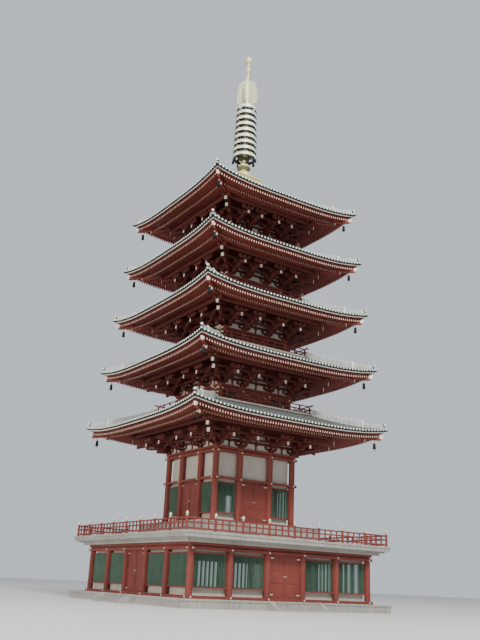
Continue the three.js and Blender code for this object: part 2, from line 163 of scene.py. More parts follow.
def edit(obj, mode, kind, wanted):  # opens a piece with the wanted elements selected, or with all of them
    pick(obj)
    startEdit()
    bpy.ops.mesh.select_mode(type=mode)
    bpy.ops.mesh.select_all(action="DESELECT" if wanted else "SELECT")
    if wanted:
        leaveEdit()
        for element in getattr(obj.data, kind):
            element.select = wanted(element)
        startEdit()


def editFaces(obj, wanted=None):
    edit(obj, "FACE", "polygons", wanted)


def editEdges(obj, wanted):
    edit(obj, "EDGE", "edges", lambda edge: wanted(*[obj.data.vertices[k].co for k in edge.vertices]))


def editPoints(obj, wanted):
    edit(obj, "VERT", "vertices", lambda point: wanted(point.co))


def extrude(move):
    bpy.ops.mesh.extrude_region_move(TRANSFORM_OT_translate={"value": move})


def press(obj, wanted, *steps):  # each step moves the wanted faces inside a border
    editFaces(obj, wanted)
    for border, move in steps:
        bpy.ops.mesh.inset(thickness=border)
        extrude(move)
    leaveEdit()


def modified(obj, kind, **settings):  # adds one modifier and applies it
    pick(obj)
    change = obj.modifiers.new("change", kind)
    for key, value in settings.items():
        setattr(change, key, value)
    bpy.ops.object.modifier_apply(modifier="change")
    return obj


def settle():
    bpy.ops.object.transform_apply(location=True, rotation=True, scale=True)


def block(x, y, z):
    deselectAll()
    middle = [(low + high) / 2 for low, high in (x, y, z)]
    bpy.ops.mesh.primitive_cube_add(size=1, location=middle)
    made = bpy.context.object
    made.scale = [high - low for low, high in (x, y, z)]
    settle()
    return made


def beam(half, y, side, low, high):  # a square-cut length across the front
    return block((-half, half), (y - side, y + side), (low, high))


def rod(start, end, radius, sides=8):
    deselectAll()
    start, end = Vector(start), Vector(end)
    run = end - start
    bpy.ops.mesh.primitive_cylinder_add(
        vertices=sides, radius=radius, depth=run.length, location=(start + end) / 2,
        rotation=run.to_track_quat("Z", "Y").to_euler())
    settle()
    return bpy.context.object


def flatShape(places):
    deselectAll()
    bpy.ops.mesh.primitive_circle_add(vertices=len(places), radius=1, fill_type="NGON")
    made = bpy.context.object
    for point, place in zip(made.data.vertices, places):
        point.co = place
    return made


def thicken(made, move):
    editFaces(made)
    extrude(move)
    bpy.ops.mesh.select_all(action="SELECT")
    bpy.ops.mesh.normals_make_consistent(inside=False)
    leaveEdit()
    return made


def moved(outline, across, up):
    return [(x + across, z + up) for x, z in outline]


def bothHalves(outline):
    return outline + [(-x, z) for x, z in reversed(outline)]


def sawnSide(outline, x0, x1):  # outline of (distance from the axis, height), as seen from the side
    return thicken(flatShape([(x0, -distance, z) for distance, z in outline]), (x1 - x0, 0, 0))


def sawnFront(outline, y0, y1):  # outline of (x, height), as seen from the front
    return thicken(flatShape([(x, y0, z) for x, z in outline]), (0, y1 - y0, 0))


def turned(profile, steps, closed=False):
    deselectAll()
    bpy.ops.mesh.primitive_circle_add(vertices=len(profile), radius=1, fill_type="NOTHING")
    made = bpy.context.object
    for point, (radius, z) in zip(made.data.vertices, profile):
        point.co = (radius, 0, z)
    if not closed:
        first, last = (Vector((profile[k][0], 0, profile[k][1])) for k in (0, -1))
        near = lambda a, b: (a - b).length < 1e-4
        editEdges(made, lambda a, b: near(a, first) and near(b, last) or near(a, last) and near(b, first))
        bpy.ops.mesh.delete(type="EDGE")
    startEdit()
    bpy.ops.mesh.select_all(action="SELECT")
    bpy.ops.mesh.spin(steps=steps, angle=2 * math.pi, center=(0, 0, 0), axis=(0, 0, 1))
    bpy.ops.mesh.select_all(action="SELECT")
    bpy.ops.mesh.remove_doubles(threshold=merging["turned"])
    bpy.ops.mesh.normals_make_consistent(inside=False)
    leaveEdit()
    return made


def cast(profile, z, steps, angle=40):  # a smooth round piece that stands at a height
    return smooth(turned(moved(profile, 0, z), steps), angle)


def hoop(profile, z, steps):  # a smooth round ring, from its closed section
    return smooth(turned(moved(profile, 0, z), steps, closed=True))


def squareRing(outer, inner, z0, z1):
    deselectAll()
    bpy.ops.mesh.primitive_plane_add(size=2 * outer, location=(0, 0, z0))
    settle()
    made = bpy.context.object
    editFaces(made)
    bpy.ops.mesh.inset(thickness=outer - inner)
    bpy.ops.mesh.delete(type="FACE")
    leaveEdit()
    return thicken(made, (0, 0, z1 - z0))


def joined(parts):
    deselectAll()
    for part in parts:
        part.select_set(True)
    bpy.context.view_layer.objects.active = parts[0]
    if len(parts) > 1:
        bpy.ops.object.join()
    return parts[0]


def copyOf(obj, place):
    twin = obj.copy()
    twin.data = obj.data.copy()
    twin.data.transform(place)
    bpy.context.collection.objects.link(twin)
    return twin


def copiesAt(obj, places):  # a copy at each place, instead of the piece itself
    copies = [copyOf(obj, place) for place in places]
    bpy.data.objects.remove(obj)
    return copies


def shift(x=0, y=0, z=0):
    return Matrix.Translation((x, y, z))


def turn(angle):
    return Matrix.Rotation(angle, 4, "Z")


def around(count, start=0.0):  # even turns about the axis
    return [turn(2 * math.pi / count * (k + start)) for k in range(count)]


def toFront(obj, x, y, z):  # lays a turned piece on its back at a place on the front
    obj.data.transform(shift(x, y, z) @ Matrix.Rotation(quarterTurn, 4, "X"))
    return obj


def fourSides(obj):
    return joined([obj] + [copyOf(obj, turn(quarter * quarterTurn)) for quarter in (1, 2, 3)])


def inRow(obj, count, step):
    return modified(obj, "ARRAY", count=count, use_relative_offset=False, use_constant_offset=True,
                    constant_offset_displace=(step, 0, 0))


def softEdges(obj, width, segments=1):
    return modified(obj, "BEVEL", width=width, segments=segments, limit_method="ANGLE")


def cutAlong(obj, wanted, cuts):
    editEdges(obj, wanted)
    bpy.ops.mesh.subdivide(number_cuts=cuts)
    leaveEdit()
    return obj


def trimToHips(obj):
    for side in (1, -1):
        editFaces(obj)
        bpy.ops.mesh.bisect(plane_co=(0, 0, 0), plane_no=(side, 1, 0), use_fill=True, clear_outer=True)
        leaveEdit()
    return obj


def smooth(obj, angle=40):
    pick(obj)
    bpy.ops.object.shade_smooth_by_angle(angle=math.radians(angle))
    return obj


def mergePoints(obj):
    editFaces(obj)
    bpy.ops.mesh.remove_doubles(threshold=merging["boards"])
    leaveEdit()
    return obj


def followEaves(storey, obj):  # lays straight work along the curved eave
    for point in obj.data.vertices:
        x, y, z = point.co
        share = min(1, abs(x) / max(-y, 0.01))
        point.co = (x, y + eaveBow(storey, share, -y), z + eaveLift(storey, x))
    return obj


def followRoof(storey, obj):  # the same, with heights counted from the roof's surface
    for point in obj.data.vertices:
        point.co.z += roofTop(storey, -point.co.y)
    return followEaves(storey, obj)


def hipTop(storey, distance):
    share = (distance - storey.roofInner) / (storey.eaveHalf - storey.roofInner)
    return roofTop(storey, distance) + eaveLift(storey, distance) + ridge["lift"] * share


def toDiagonal(obj):  # turns work that points at -Y to the front left corner
    for point in obj.data.vertices:
        x, y, z = point.co
        side = x / math.sqrt(2)
        point.co = (side + y, -side + y, z)
    return obj


def followHip(storey, obj):  # the same, with heights counted from the hip
    for point in obj.data.vertices:
        point.co.z += hipTop(storey, -point.co.y)
    return toDiagonal(obj)


def eaveBoard(storey, section, cuts=24):  # a board all round the eaves, from its section
    board = sawnSide(section, -1, 1)
    editFaces(board, lambda face: abs(face.normal.x) > 0.9)
    bpy.ops.mesh.delete(type="FACE")
    leaveEdit()
    cutAlong(board, lambda a, b: abs(a.x - b.x) > 1, cuts)
    for point in board.data.vertices:
        share, y, z = point.co
        x = -share * y
        point.co = (x, y + eaveBow(storey, share, -y), z + eaveLift(storey, x))
    return mergePoints(fourSides(board))


def finished(name, parts, look, stands=()):  # names a piece and puts it in the frame
    piece = joined(parts) if isinstance(parts, list) else parts
    pick(piece)
    piece.name = name
    piece.data.name = name
    piece.scale = (modelScale, modelScale, modelScale)
    settle()
    piece.data.materials.clear()
    piece.data.materials.append(finish[look])
    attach(piece, "root")
    if stands:
        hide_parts(*stands)
    return piece

# Finishes


def addNodes(tree, nodes, table, links):  # rows are kind, x, y, and settings: capitals for the inputs
    for name, (kind, x, y, *facts) in table.items():
        node = nodes[name] = tree.nodes.new("ShaderNode" + kind)
        node.location = (x, y)
        for key, value in (facts[0] if facts else {}).items():
            if key[0].islower():
                setattr(node, key, value)
            else:
                node.inputs[key].default_value = value
    for link in links:  # as in "node.output > node.input", where an input can be a number
        (source, out), (target, into) = (end.split(".") for end in link.split(" > "))
        into = int(into) if into.isdigit() else into
        tree.links.new(nodes[source].outputs[out], nodes[target].inputs[into])


def nodeGroup(name, takes, gives, table, links):
    group = bpy.data.node_groups.new(name, "ShaderNodeTree")
    for label, value in takes.items():
        kind = "NodeSocketFloat" if isinstance(value, float) else "NodeSocketColor"
        group.interface.new_socket(name=label, in_out="INPUT", socket_type=kind).default_value = value
    for label, kind in gives.items():
        group.interface.new_socket(name=label, in_out="OUTPUT", socket_type=kind)
    ends = {"enter": group.nodes.new("NodeGroupInput"), "leave": group.nodes.new("NodeGroupOutput")}
    ends["enter"].location = (-1000, 0)
    ends["leave"].location = (700, 0)
    addNodes(group, ends, table, links)
    return group


weathering = nodeGroup(  # soft stains and streaks that run down a surface
    "weathering",
    {"Clean": (0.5, 0.5, 0.5, 1), "Stained": (0.2, 0.2, 0.2, 1), "Amount": 0.5, "Patch Size": 2.0},
    {"Color": "NodeSocketColor", "Mask": "NodeSocketFloat"},
    {
        "place": ("TexCoord", -900, -300),
        "patches": ("TexNoise", -600, 100, {"Detail": 6, "Roughness": 0.65}),
        "stretch": ("Mapping", -700, -300, {"Scale": (9, 9, 0.9)}),
        "streaks": ("TexNoise", -450, -300, {"Scale": 1.5, "Detail": 4}),
        "blend": ("Math", -200, 0, {"operation": "MULTIPLY"}),
        "ramp": ("ValToRGB", 0, 0),
        "strength": ("Math", 280, -100, {"operation": "MULTIPLY"}),
        "mix": ("Mix", 480, 0, {"data_type": "RGBA"}),
    },
    ["place.Object > patches.Vector", "enter.Patch Size > patches.Scale", "place.Object > stretch.Vector",
     "stretch.Vector > streaks.Vector", "patches.Fac > blend.0", "streaks.Fac > blend.1",
     "blend.Value > ramp.Fac", "ramp.Color > strength.0", "enter.Amount > strength.1",
     "strength.Value > mix.Factor", "enter.Clean > mix.A", "enter.Stained > mix.B",
     "mix.Result > leave.Color", "strength.Value > leave.Mask"])
stainRange = weathering.nodes["Color Ramp"].color_ramp.elements
stainRange[0].position = 0.16
stainRange[1].position = 0.42

grain = nodeGroup(  # fine unevenness, as a height for bump
    "grain", {"Scale": 60.0}, {"Height": "NodeSocketFloat"},
    {
        "place": ("TexCoord", -700, -200),
        "noise": ("TexNoise", -200, 0, {"Detail": 5}),
    },
    ["place.Object > noise.Vector", "enter.Scale > noise.Scale", "noise.Fac > leave.Height"])

joints = nodeGroup(  # thin lines across the roof slopes, where one tile of a row ends on the next
    "joints", {"Pitch": 0.15, "Line": 0.01}, {"Mask": "NodeSocketFloat"},
    {
        "place": ("TexCoord", -900, -200),
        "split": ("SeparateXYZ", -700, -200),
        "across": ("Math", -500, -100, {"operation": "ABSOLUTE"}),
        "along": ("Math", -500, -300, {"operation": "ABSOLUTE"}),
        "out": ("Math", -300, -200, {"operation": "MAXIMUM"}),
        "step": ("Math", -100, 0, {"operation": "MODULO"}),
        "line": ("Math", 150, 0, {"operation": "LESS_THAN"}),
    },
    ["place.Object > split.Vector", "split.X > across.0", "split.Y > along.0", "across.Value > out.0",
     "along.Value > out.1", "out.Value > step.0", "enter.Pitch > step.1", "step.Value > line.0",
     "enter.Line > line.1", "line.Value > leave.Mask"])

usual = {  # what a finish has unless it says otherwise
    "rough": 0.6,
    "roughStain": 0.8,
    "grain": 60,
    "bump": 0.1,
    "bumpDepth": 0.01,
    "metal": 0,
    "gloss": 0.5,
}
finishes = {
    "vermilion": {"color": (0.235, 0.055, 0.042), "stain": (0.12, 0.034, 0.028), "amount": 0.6, "patch": 1.3,
                  "rough": 0.55, "grain": 40, "bump": 0.2, "gloss": 0.25},
    # the vermilion darkened as painted shade, for timber that lies in shade under the eaves and the balconies
    "vermilionShaded": {"color": (0.14, 0.038, 0.03), "stain": (0.065, 0.022, 0.019), "amount": 0.6,
                      "patch": 1.1, "rough": 0.65, "roughStain": 0.85, "grain": 40, "bump": 0.2,
                      "gloss": 0.15},
    "plaster": {"color": (0.55, 0.515, 0.44), "stain": (0.38, 0.34, 0.28), "amount": 0.5, "patch": 1.6,
                "rough": 0.85, "roughStain": 0.95, "grain": 90, "bump": 0.15},
    "palePaint": {"color": (0.78, 0.72, 0.6), "stain": (0.5, 0.42, 0.32), "amount": 0.4, "patch": 2.2},
    "brightPaint": {"color": (0.92, 0.88, 0.8), "stain": (0.68, 0.6, 0.5), "amount": 0.3, "patch": 2.2},
    # the pale paint dimmed and warmed: painted shade and warm bounce light on the flying rafter ends
    "palePaintWarmShade": {"color": (0.88, 0.64, 0.5), "stain": (0.55, 0.34, 0.25), "amount": 0.4, "patch": 2.2},
    # the pale paint dimmed: painted shade on the inner rafter ends, and a painted highlight on the tops of
    # the dark bells
    "palePaintShadeAndHighlight": {"color": (0.5, 0.33, 0.26), "stain": (0.3, 0.18, 0.14), "amount": 0.5, "patch": 2.2,
                      "rough": 0.7, "roughStain": 0.85, "gloss": 0.3},
    # the tile grey darkened as painted shade on the sides of the cover tiles; its joint lines are real
    "tileGreyShaded": {"color": (0.17, 0.185, 0.18), "stain": (0.07, 0.085, 0.08), "amount": 0.7, "patch": 2.5,
                 "rough": 0.5, "roughStain": 0.75, "grain": 50, "bump": 0.2, "gloss": 0.35,
                 "joint": 0.165, "jointColor": (0.05, 0.06, 0.057)},
    "tilePale": {"color": (0.86, 0.87, 0.82), "stain": (0.5, 0.53, 0.48), "amount": 0.4, "patch": 3,
                 "rough": 0.45, "roughStain": 0.7, "bump": 0.15},
    "ridgeGrey": {"color": (0.56, 0.6, 0.57), "stain": (0.24, 0.27, 0.25), "amount": 0.6, "patch": 3,
                  "rough": 0.5, "roughStain": 0.75, "bump": 0.15,
                  "joint": 0.13, "jointColor": (0.3, 0.33, 0.31)},
    # near black tile: painted shade for the roof shell between the cover tiles, the lips between the end
    # discs, the corner tips and the ridge foot plates
    "tilePaintedShade": {"color": (0.02, 0.032, 0.027), "stain": (0.01, 0.016, 0.013), "amount": 0.6, "patch": 2.5,
                 "grain": 50, "bump": 0.2, "gloss": 0.2},
    "stone": {"color": (0.4, 0.385, 0.35), "stain": (0.2, 0.195, 0.175), "amount": 0.7, "patch": 1.2,
              "rough": 0.8, "roughStain": 0.95, "grain": 70, "bump": 0.35},
    "gilt": {"color": (0.9, 0.82, 0.46), "stain": (0.5, 0.42, 0.2), "amount": 0.45, "patch": 3,
             "rough": 0.4, "roughStain": 0.6, "grain": 40, "bump": 0.12, "metal": 0.4},
    # a dull, darker copy of the gilt: painted shade on the lotus cup under its petals
    "giltShaded": {"color": (0.24, 0.22, 0.13), "stain": (0.12, 0.11, 0.07), "amount": 0.5, "patch": 3,
                 "rough": 0.5, "roughStain": 0.7, "grain": 40, "bump": 0.12, "metal": 0.4},
    # dull gilt darkened further: painted shade on the hubs and spokes inside the rings
    "giltDeepShade": {"color": (0.1, 0.088, 0.05), "stain": (0.05, 0.045, 0.03), "amount": 0.5, "patch": 3,
                 "rough": 0.5, "roughStain": 0.7, "grain": 40, "bump": 0.12, "metal": 0.4},
    # a paler, less metallic copy of the gilt: painted sunlight on the ring bands and the flames
    "giltSunlit": {"color": (0.93, 0.93, 0.74), "stain": (0.68, 0.66, 0.46), "amount": 0.4, "patch": 4,
                 "rough": 0.45, "roughStain": 0.6, "metal": 0.2},
    "brass": {"color": (0.82, 0.76, 0.58), "stain": (0.5, 0.44, 0.3), "amount": 0.4, "patch": 4,
              "rough": 0.35, "roughStain": 0.6, "metal": 0.5},
    "latticeGreen": {"color": (0.05, 0.12, 0.075), "stain": (0.02, 0.05, 0.035), "amount": 0.5, "patch": 2},
    # dark bronze for the ring bells, and painted shade on the dark hoops inside the ring bands
    "bronzeAndRingShade": {"color": (0.012, 0.03, 0.036), "stain": (0.006, 0.014, 0.016), "amount": 0.5, "patch": 6,
                   "gloss": 0.15},
    "bellDark": {"color": (0.012, 0.018, 0.02), "stain": (0.006, 0.009, 0.01), "amount": 0.5, "patch": 6,
                 "gloss": 0.15},
}


def makeFinish(name, look):
    made = bpy.data.materials.new(name)
    made.use_nodes = True
    tree = made.node_tree
    shader = tree.nodes["Principled BSDF"]
    shader.inputs["Metallic"].default_value = look["metal"]
    shader.inputs["Specular IOR Level"].default_value = look["gloss"]
    nodes = {"shader": shader}
    addNodes(tree, nodes, {
        "stain": ("Group", -500, 200, {
            "node_tree": weathering, "Clean": (*look["color"], 1), "Stained": (*look["stain"], 1),
            "Amount": look["amount"], "Patch Size": look["patch"]}),
        "rough": ("MapRange", -250, 0, {"To Min": look["rough"], "To Max": look["roughStain"]}),
        "fine": ("Group", -500, -300, {"node_tree": grain, "Scale": look["grain"]}),
        "bump": ("Bump", -250, -300, {"Strength": look["bump"], "Distance": look["bumpDepth"]}),
    }, ["stain.Color > shader.Base Color", "stain.Mask > rough.Value", "rough.Result > shader.Roughness",
        "fine.Height > bump.Height", "bump.Normal > shader.Normal"])
    if "joint" in look:
        addNodes(tree, nodes, {
            "lines": ("Group", -900, 400, {"node_tree": joints, "Pitch": look["joint"]}),
            "darker": ("Mix", -200, 300, {"data_type": "RGBA", "B": (*look["jointColor"], 1)}),
        }, ["lines.Mask > darker.Factor", "stain.Color > darker.A", "darker.Result > shader.Base Color"])
    return made


finish = {name: makeFinish(name, {**usual, **look}) for name, look in finishes.items()}
print("finishes mixed")

# Roofs: a shell under the tiles, rows of round cover tiles, their end discs, and the lips between; the shell,
# the lips, the corner tips and the ridge foot plates are near black as painted shade

tiling = {
    "rows": [56, 53, 50, 47, 45],
    "coverRadius": 0.088,
    "coverSunk": 0.045,
    "coverTuck": 0.08,  # how far the rows run in under the wall or the basin
    "slopeCuts": 8,
    "shellGap": 0.03,
    "shellDepth": 0.1,
    "shellInset": 0.3,
    "discRadius": 0.08,
    "discDepth": 0.06,
    "discHeight": 0.2,
    "discHollow": 0.015,
    "rim": 0.02,
    "lipHeight": 0.115,
    "lip": [(-0.1, 0.1), (-0.1, 0.0), (-0.055, -0.035), (0.0, -0.05), (0.055, -0.035), (0.1, 0.0),
            (0.1, 0.1)],
}


def rowPlaces(storey, counts):  # number, pitch and first place of what stands along an eave
    pitch = 2 * storey.eaveHalf / counts[storey.level]
    return counts[storey.level], pitch, pitch / 2 - storey.eaveHalf


def roofShell(storey):
    half, steps, gap = storey.eaveHalf, tiling["slopeCuts"], tiling["shellGap"]
    edge = half + tower["tileReach"]
    under = storey.eave + gap
    slope = [half + (storey.roofInner - half) * k / steps for k in range(1, steps + 1)]
    tops = [(distance, roofTop(storey, distance)) for distance in slope]
    section = [(edge, under), (edge, storey.eave + tower["tileTop"] - gap)] + tops
    section += moved(reversed(tops), 0, -tiling["shellDepth"])
    section.append((half - tiling["shellInset"], under))
    return eaveBoard(storey, section)


def coverTiles(storey):
    start, end = storey.roofInner - tiling["coverTuck"], storey.eaveHalf + tower["tileReach"]
    count, pitch, first = rowPlaces(storey, tiling["rows"])
    bar = rod((first, -start, 0), (first, -end, 0), tiling["coverRadius"], 10)
    editFaces(bar)
    bpy.ops.mesh.bisect(
        plane_co=(0, 0, -tiling["coverSunk"]), plane_no=(0, 0, 1), use_fill=True, clear_inner=True)
    leaveEdit()
    cutAlong(bar, lambda a, b: abs(a.y - b.y) > 1, tiling["slopeCuts"])
    inRow(bar, count, pitch)
    return smooth(fourSides(followRoof(storey, trimToHips(bar))), 50)


def endTile(x, back, front, z, radius, sides):  # a round tile with its face hollowed inside a rim
    tile = rod((x, back, z), (x, front, z), radius, sides)
    press(tile, lambda one: one.normal.y < -0.9, (tiling["rim"], (0, tiling["discHollow"], 0)))
    return tile


def tileDiscs(storey):
    count, pitch, first = rowPlaces(storey, tiling["rows"])
    face = -storey.eaveHalf - tower["tileReach"]
    disc = endTile(first, face + 0.01, face - tiling["discDepth"], storey.eave + tiling["discHeight"],
                   tiling["discRadius"], 10)
    inRow(disc, count, pitch)
    return smooth(fourSides(followEaves(storey, disc)), 50)


def tileLips(storey):
    count, pitch, first = rowPlaces(storey, tiling["rows"])
    face = storey.eaveHalf + tower["tileReach"]
    outline = moved(tiling["lip"], first + pitch / 2, storey.eave + tiling["lipHeight"])
    lip = sawnFront(outline, -face - 0.03, -face + 0.01)
    inRow(lip, count - 1, pitch)
    return fourSides(followEaves(storey, lip))


ridge = {
    "tall": [(0.14, -0.16), (0.14, 0.09), (0.115, 0.095), (0.13, 0.1), (0.13, 0.2), (0.105, 0.205),
             (0.12, 0.21), (0.12, 0.31), (0.095, 0.315), (0.11, 0.32), (0.11, 0.42), (0.08, 0.43),
             (0.075, 0.5), (0.04, 0.55)],
    "low": [(0.11, -0.16), (0.11, 0.07), (0.09, 0.075), (0.1, 0.08), (0.1, 0.16), (0.08, 0.165),
            (0.09, 0.17), (0.09, 0.25), (0.065, 0.26), (0.06, 0.31), (0.035, 0.35)],
    "lift": 0.1,  # how far the ridges rise off the tiles towards the corner
    "lowLength": 1.25,
    "setback": 0.03,
    "wallGap": 0.05,  # what the ridges keep from the balcony above
    "topStart": 1.36,  # where the highest ridges begin, beside the basin
    "cuts": 7,
    "plate": [(-0.15, -0.1), (0.15, -0.1), (0.17, 0.12), (0.13, 0.34), (0.07, 0.52), (0.0, 0.58),
              (-0.07, 0.52), (-0.13, 0.34), (-0.17, 0.12)],
    "plateDepth": 0.1,
    "plateSteps": [(0.045, (0, 0.04, 0)), (0.07, (0, -0.05, 0))],  # border, and how far the inside moves
    "footPlate": [(-0.08, -0.1), (0.08, -0.1), (0.1, 0.08), (0.09, 0.28), (0.05, 0.38), (-0.05, 0.38),
                  (-0.09, 0.28), (-0.1, 0.08)],
    "tile": 0.095,
    "tileHeight": 0.27,
    "tip": [(-0.2, -0.06), (0.08, -0.07), (0.24, -0.01), (0.26, 0.04), (0.08, 0.03), (-0.2, 0.03)],
    "tipHeight": 0.1,
    "tipHalf": 0.13,
    "tipNose": 0.22,  # beyond this, the tip narrows
    "tipNarrow": 0.25,
}


def ridgeLength(storey, outline, start, end):
    bar = sawnFront(bothHalves(outline), -end, -start)
    cutAlong(bar, lambda a, b: abs(a.y - b.y) > 0.5, ridge["cuts"])
    return followHip(storey, bar)


def ontoHip(storey, obj, distance):
    obj.data.transform(shift(z=hipTop(storey, distance)))
    return toDiagonal(obj)


def ridgeEnd(storey, distance):  # the plate that closes the tall ridge
    plate = sawnFront(ridge["plate"], -distance - ridge["plateDepth"], -distance)
    press(plate, lambda one: one.center.y < -distance - ridge["plateDepth"] + 0.01, *ridge["plateSteps"])
    return ontoHip(storey, plate, distance)


def ridgeFoot(storey, distance):  # the plate that closes the low ridge, and the round tiles in front of it
    plate = softEdges(sawnFront(ridge["footPlate"], -distance - 0.07, -distance + 0.02), 0.012)
    edge = storey.eaveHalf + tower["tileReach"]
    low = storey.corner + tiling["discHeight"] + 0.06 - hipTop(storey, distance)
    tiles = [endTile(0, -distance - 0.04, -distance - 0.16, ridge["tileHeight"], ridge["tile"], 12),
             endTile(0, -distance, -edge - tiling["discDepth"], low, tiling["discRadius"], 10)]
    return ontoHip(storey, plate, distance), ontoHip(storey, joined(tiles), distance)


def cornerTip(storey):  # the flat tile that points out under each corner
    half = storey.eaveHalf
    bar = sawnSide(moved(ridge["tip"], half, storey.corner + ridge["tipHeight"]),
                   -ridge["tipHalf"], ridge["tipHalf"])
    editPoints(bar, lambda place: -place.y > half + ridge["tipNose"])
    bpy.ops.transform.resize(value=(ridge["tipNarrow"], 1, 1))
    leaveEdit()
    return fourSides(toDiagonal(bar))


def hipRidges(storey):
    end = storey.eaveHalf - ridge["setback"]
    step = end - ridge["lowLength"]
    start = max(storey.roofInner + tower["balconyLip"] + ridge["wallGap"], ridge["topStart"])
    lengths = [ridgeLength(storey, ridge["tall"], start, step),
               ridgeLength(storey, ridge["low"], step - 0.05, end)]
    plate, tile = ridgeFoot(storey, end)
    groups = (lengths, [ridgeEnd(storey, step), tile], [plate])
    return [smooth(fourSides(joined(parts)), 35) for parts in groups]


for storey in storeys:
    n = storey.number
    # the shell under the cover tiles is near black as painted shade between them
    finished(f"roof_shell_{n}", roofShell(storey), "tilePaintedShade", [f"roof_{n}"])
    # the cover tiles take the darkened grey, with painted shade on their sides
    finished(f"cover_tiles_{n}", coverTiles(storey), "tileGreyShaded")
    finished(f"tile_discs_{n}", tileDiscs(storey), "tilePale")
    lengths, ends, plates = hipRidges(storey)
    # the lips, corner tips and ridge foot plates are near black as painted shade
    finished(f"tile_lips_{n}", [tileLips(storey), cornerTip(storey), plates], "tilePaintedShade")
    finished(f"hip_ridges_{n}", lengths, "ridgeGrey")
    finished(f"ridge_ends_{n}", ends, "tilePale")
print("roofs tiled")

# Eaves: boards over the rafters, two tiers of rafters with pale ends, hip rafters and bells

rafters = {
    "count": [76, 72, 68, 64, 60],
    "flying": {"setback": 0.21, "under": 0.39, "height": 0.16, "width": 0.08, "run": 1.27, "slope": 0.17},
    "base": {"setback": 1.3, "under": 0.42, "height": 0.17, "width": 0.09, "slope": 0.28},
    "baseRoot": 0.1,  # how far the inner rafters stop short of the wall's inner face
    "endDepth": 0.006,
    "board": 0.03,
    "baseBoard": 0.03,  # how far the boards pass the tips of the rafters
    "flyingBoard": -0.04,
    "kioi": [(-0.02, 0), (0.02, 0.1), (-0.16, 0.1), (-0.2, 0)],  # the beam on the tips of the inner rafters
    "edge": 0.045,  # the pale edge board, below and above the eave line
    "edgeTop": 0.03,
    "hipWidth": 0.175,
    "hipRoot": 0.12,
    "hipFlying": [(-0.3, -0.72), (-0.22, -0.71), (-0.18, -0.66), (-0.04, -0.34), (-1.6, -0.2), (-1.6, -0.58)],
    "hipBase": [(-1.2, -0.87), (-1.16, -0.84), (-1.16, -0.56), (-1.5, -0.5)],
    "hipCap": [(-0.26, -0.58), (-0.13, -0.59), (-0.02, -0.33), (-0.24, -0.31)],
    "hipSlant": 0.423,
    "hipBorder": 0.035,
    "hipRelief": 0.02,
}


def rafterBar(x, width, tip, root, under, height, slope):
    bar = block((x - width / 2, x + width / 2), (-tip, -root), (under, under + height))
    editPoints(bar, lambda place: place.y > -root - 0.01)
    bpy.ops.transform.translate(value=(0, 0, slope * (tip - root)))
    leaveEdit()
    return bar


def rafterTier(storey, tier, root):
    count, pitch, first = rowPlaces(storey, rafters["count"])
    tip, width, height = storey.eaveHalf - tier["setback"], tier["width"], tier["height"]
    under = storey.eave - tier["under"]
    bar = rafterBar(first, width, tip, root, under, height, tier["slope"])
    inRow(bar, count, pitch)
    bars = fourSides(followEaves(storey, trimToHips(bar)))
    end = block((first - width / 2, first + width / 2), (-tip - rafters["endDepth"], -tip),
                (under, under + height))
    inRow(end, count, pitch)
    ends = fourSides(followEaves(storey, trimToHips(end)))
    return bars, ends


def eaveBoards(storey):
    half, eave, inner, thick = storey.eaveHalf, storey.eave, storey.wallInner, rafters["board"]
    tier = rafters["base"]
    tip = half - tier["setback"]
    over = eave - tier["under"] + tier["height"]
    top = over + tier["slope"] * (tip - inner)
    edge = tip + rafters["baseBoard"]
    base = [(edge, over), (edge, over + thick), (inner, top + thick), (inner, top)]
    kioi = moved(rafters["kioi"], tip, over)
    tier = rafters["flying"]
    edge = half - tier["setback"] + rafters["flyingBoard"]
    root = half - tier["setback"] - tier["run"]
    high = eave - tier["under"] + tier["height"]
    rise = tier["slope"] * tier["run"]
    flying = [(edge, high), (edge, high + thick), (root, high + rise + thick), (root, high + rise)]
    under = eave - rafters["edge"]
    fascia = [(half - 0.3, high), (half - 0.25, eave - 0.08), (half - 0.02, eave - 0.07),
              (half - 0.02, under), (half - 0.5, under), (half - 0.5, high)]
    return joined([eaveBoard(storey, section) for section in (base, flying, fascia, kioi)])


def paleEdge(storey):
    half, low, high = storey.eaveHalf, storey.eave - rafters["edge"], storey.eave + rafters["edgeTop"]
    return eaveBoard(storey, [(half - 0.01, low), (half, high), (half - 0.3, high), (half - 0.3, low)])


def hipRafters(storey):
    half, corner = storey.eaveHalf, storey.corner
    side = rafters["hipWidth"] / 2
    root = storey.columnHalf + rafters["hipRoot"]
    under = raftersAt(storey, root) + eaveLift(storey, root)
    seat = storey.columnHalf + tower["purlinReach"] + tower["purlinHalf"]
    nose = moved(rafters["hipBase"], half, corner)
    base = [(root, under - 0.2), (seat, raftersAt(storey, seat)), *nose, (root, under + 0.1)]
    flying = moved(rafters["hipFlying"], half, corner)
    bars = [softEdges(sawnSide(outline, -side, side), 0.02) for outline in (flying, base)]
    flyingEnd = sawnSide(moved(rafters["hipCap"], half, corner), -side - 0.008, side + 0.008)
    front = nose[1][0]
    baseEnd = block((-side + 0.01, side - 0.01), (-front - 0.02, -front), (corner - 0.83, corner - 0.57))
    for end, slant in ((flyingEnd, rafters["hipSlant"]), (baseEnd, 0)):
        ahead = Vector((0, -1, -slant)).normalized()
        press(end, lambda one: one.normal.dot(ahead) > 0.99,
              (rafters["hipBorder"], tuple(rafters["hipRelief"] * ahead)))
    return fourSides(toDiagonal(joined(bars))), fourSides(toDiagonal(joined([flyingEnd, baseEnd])))


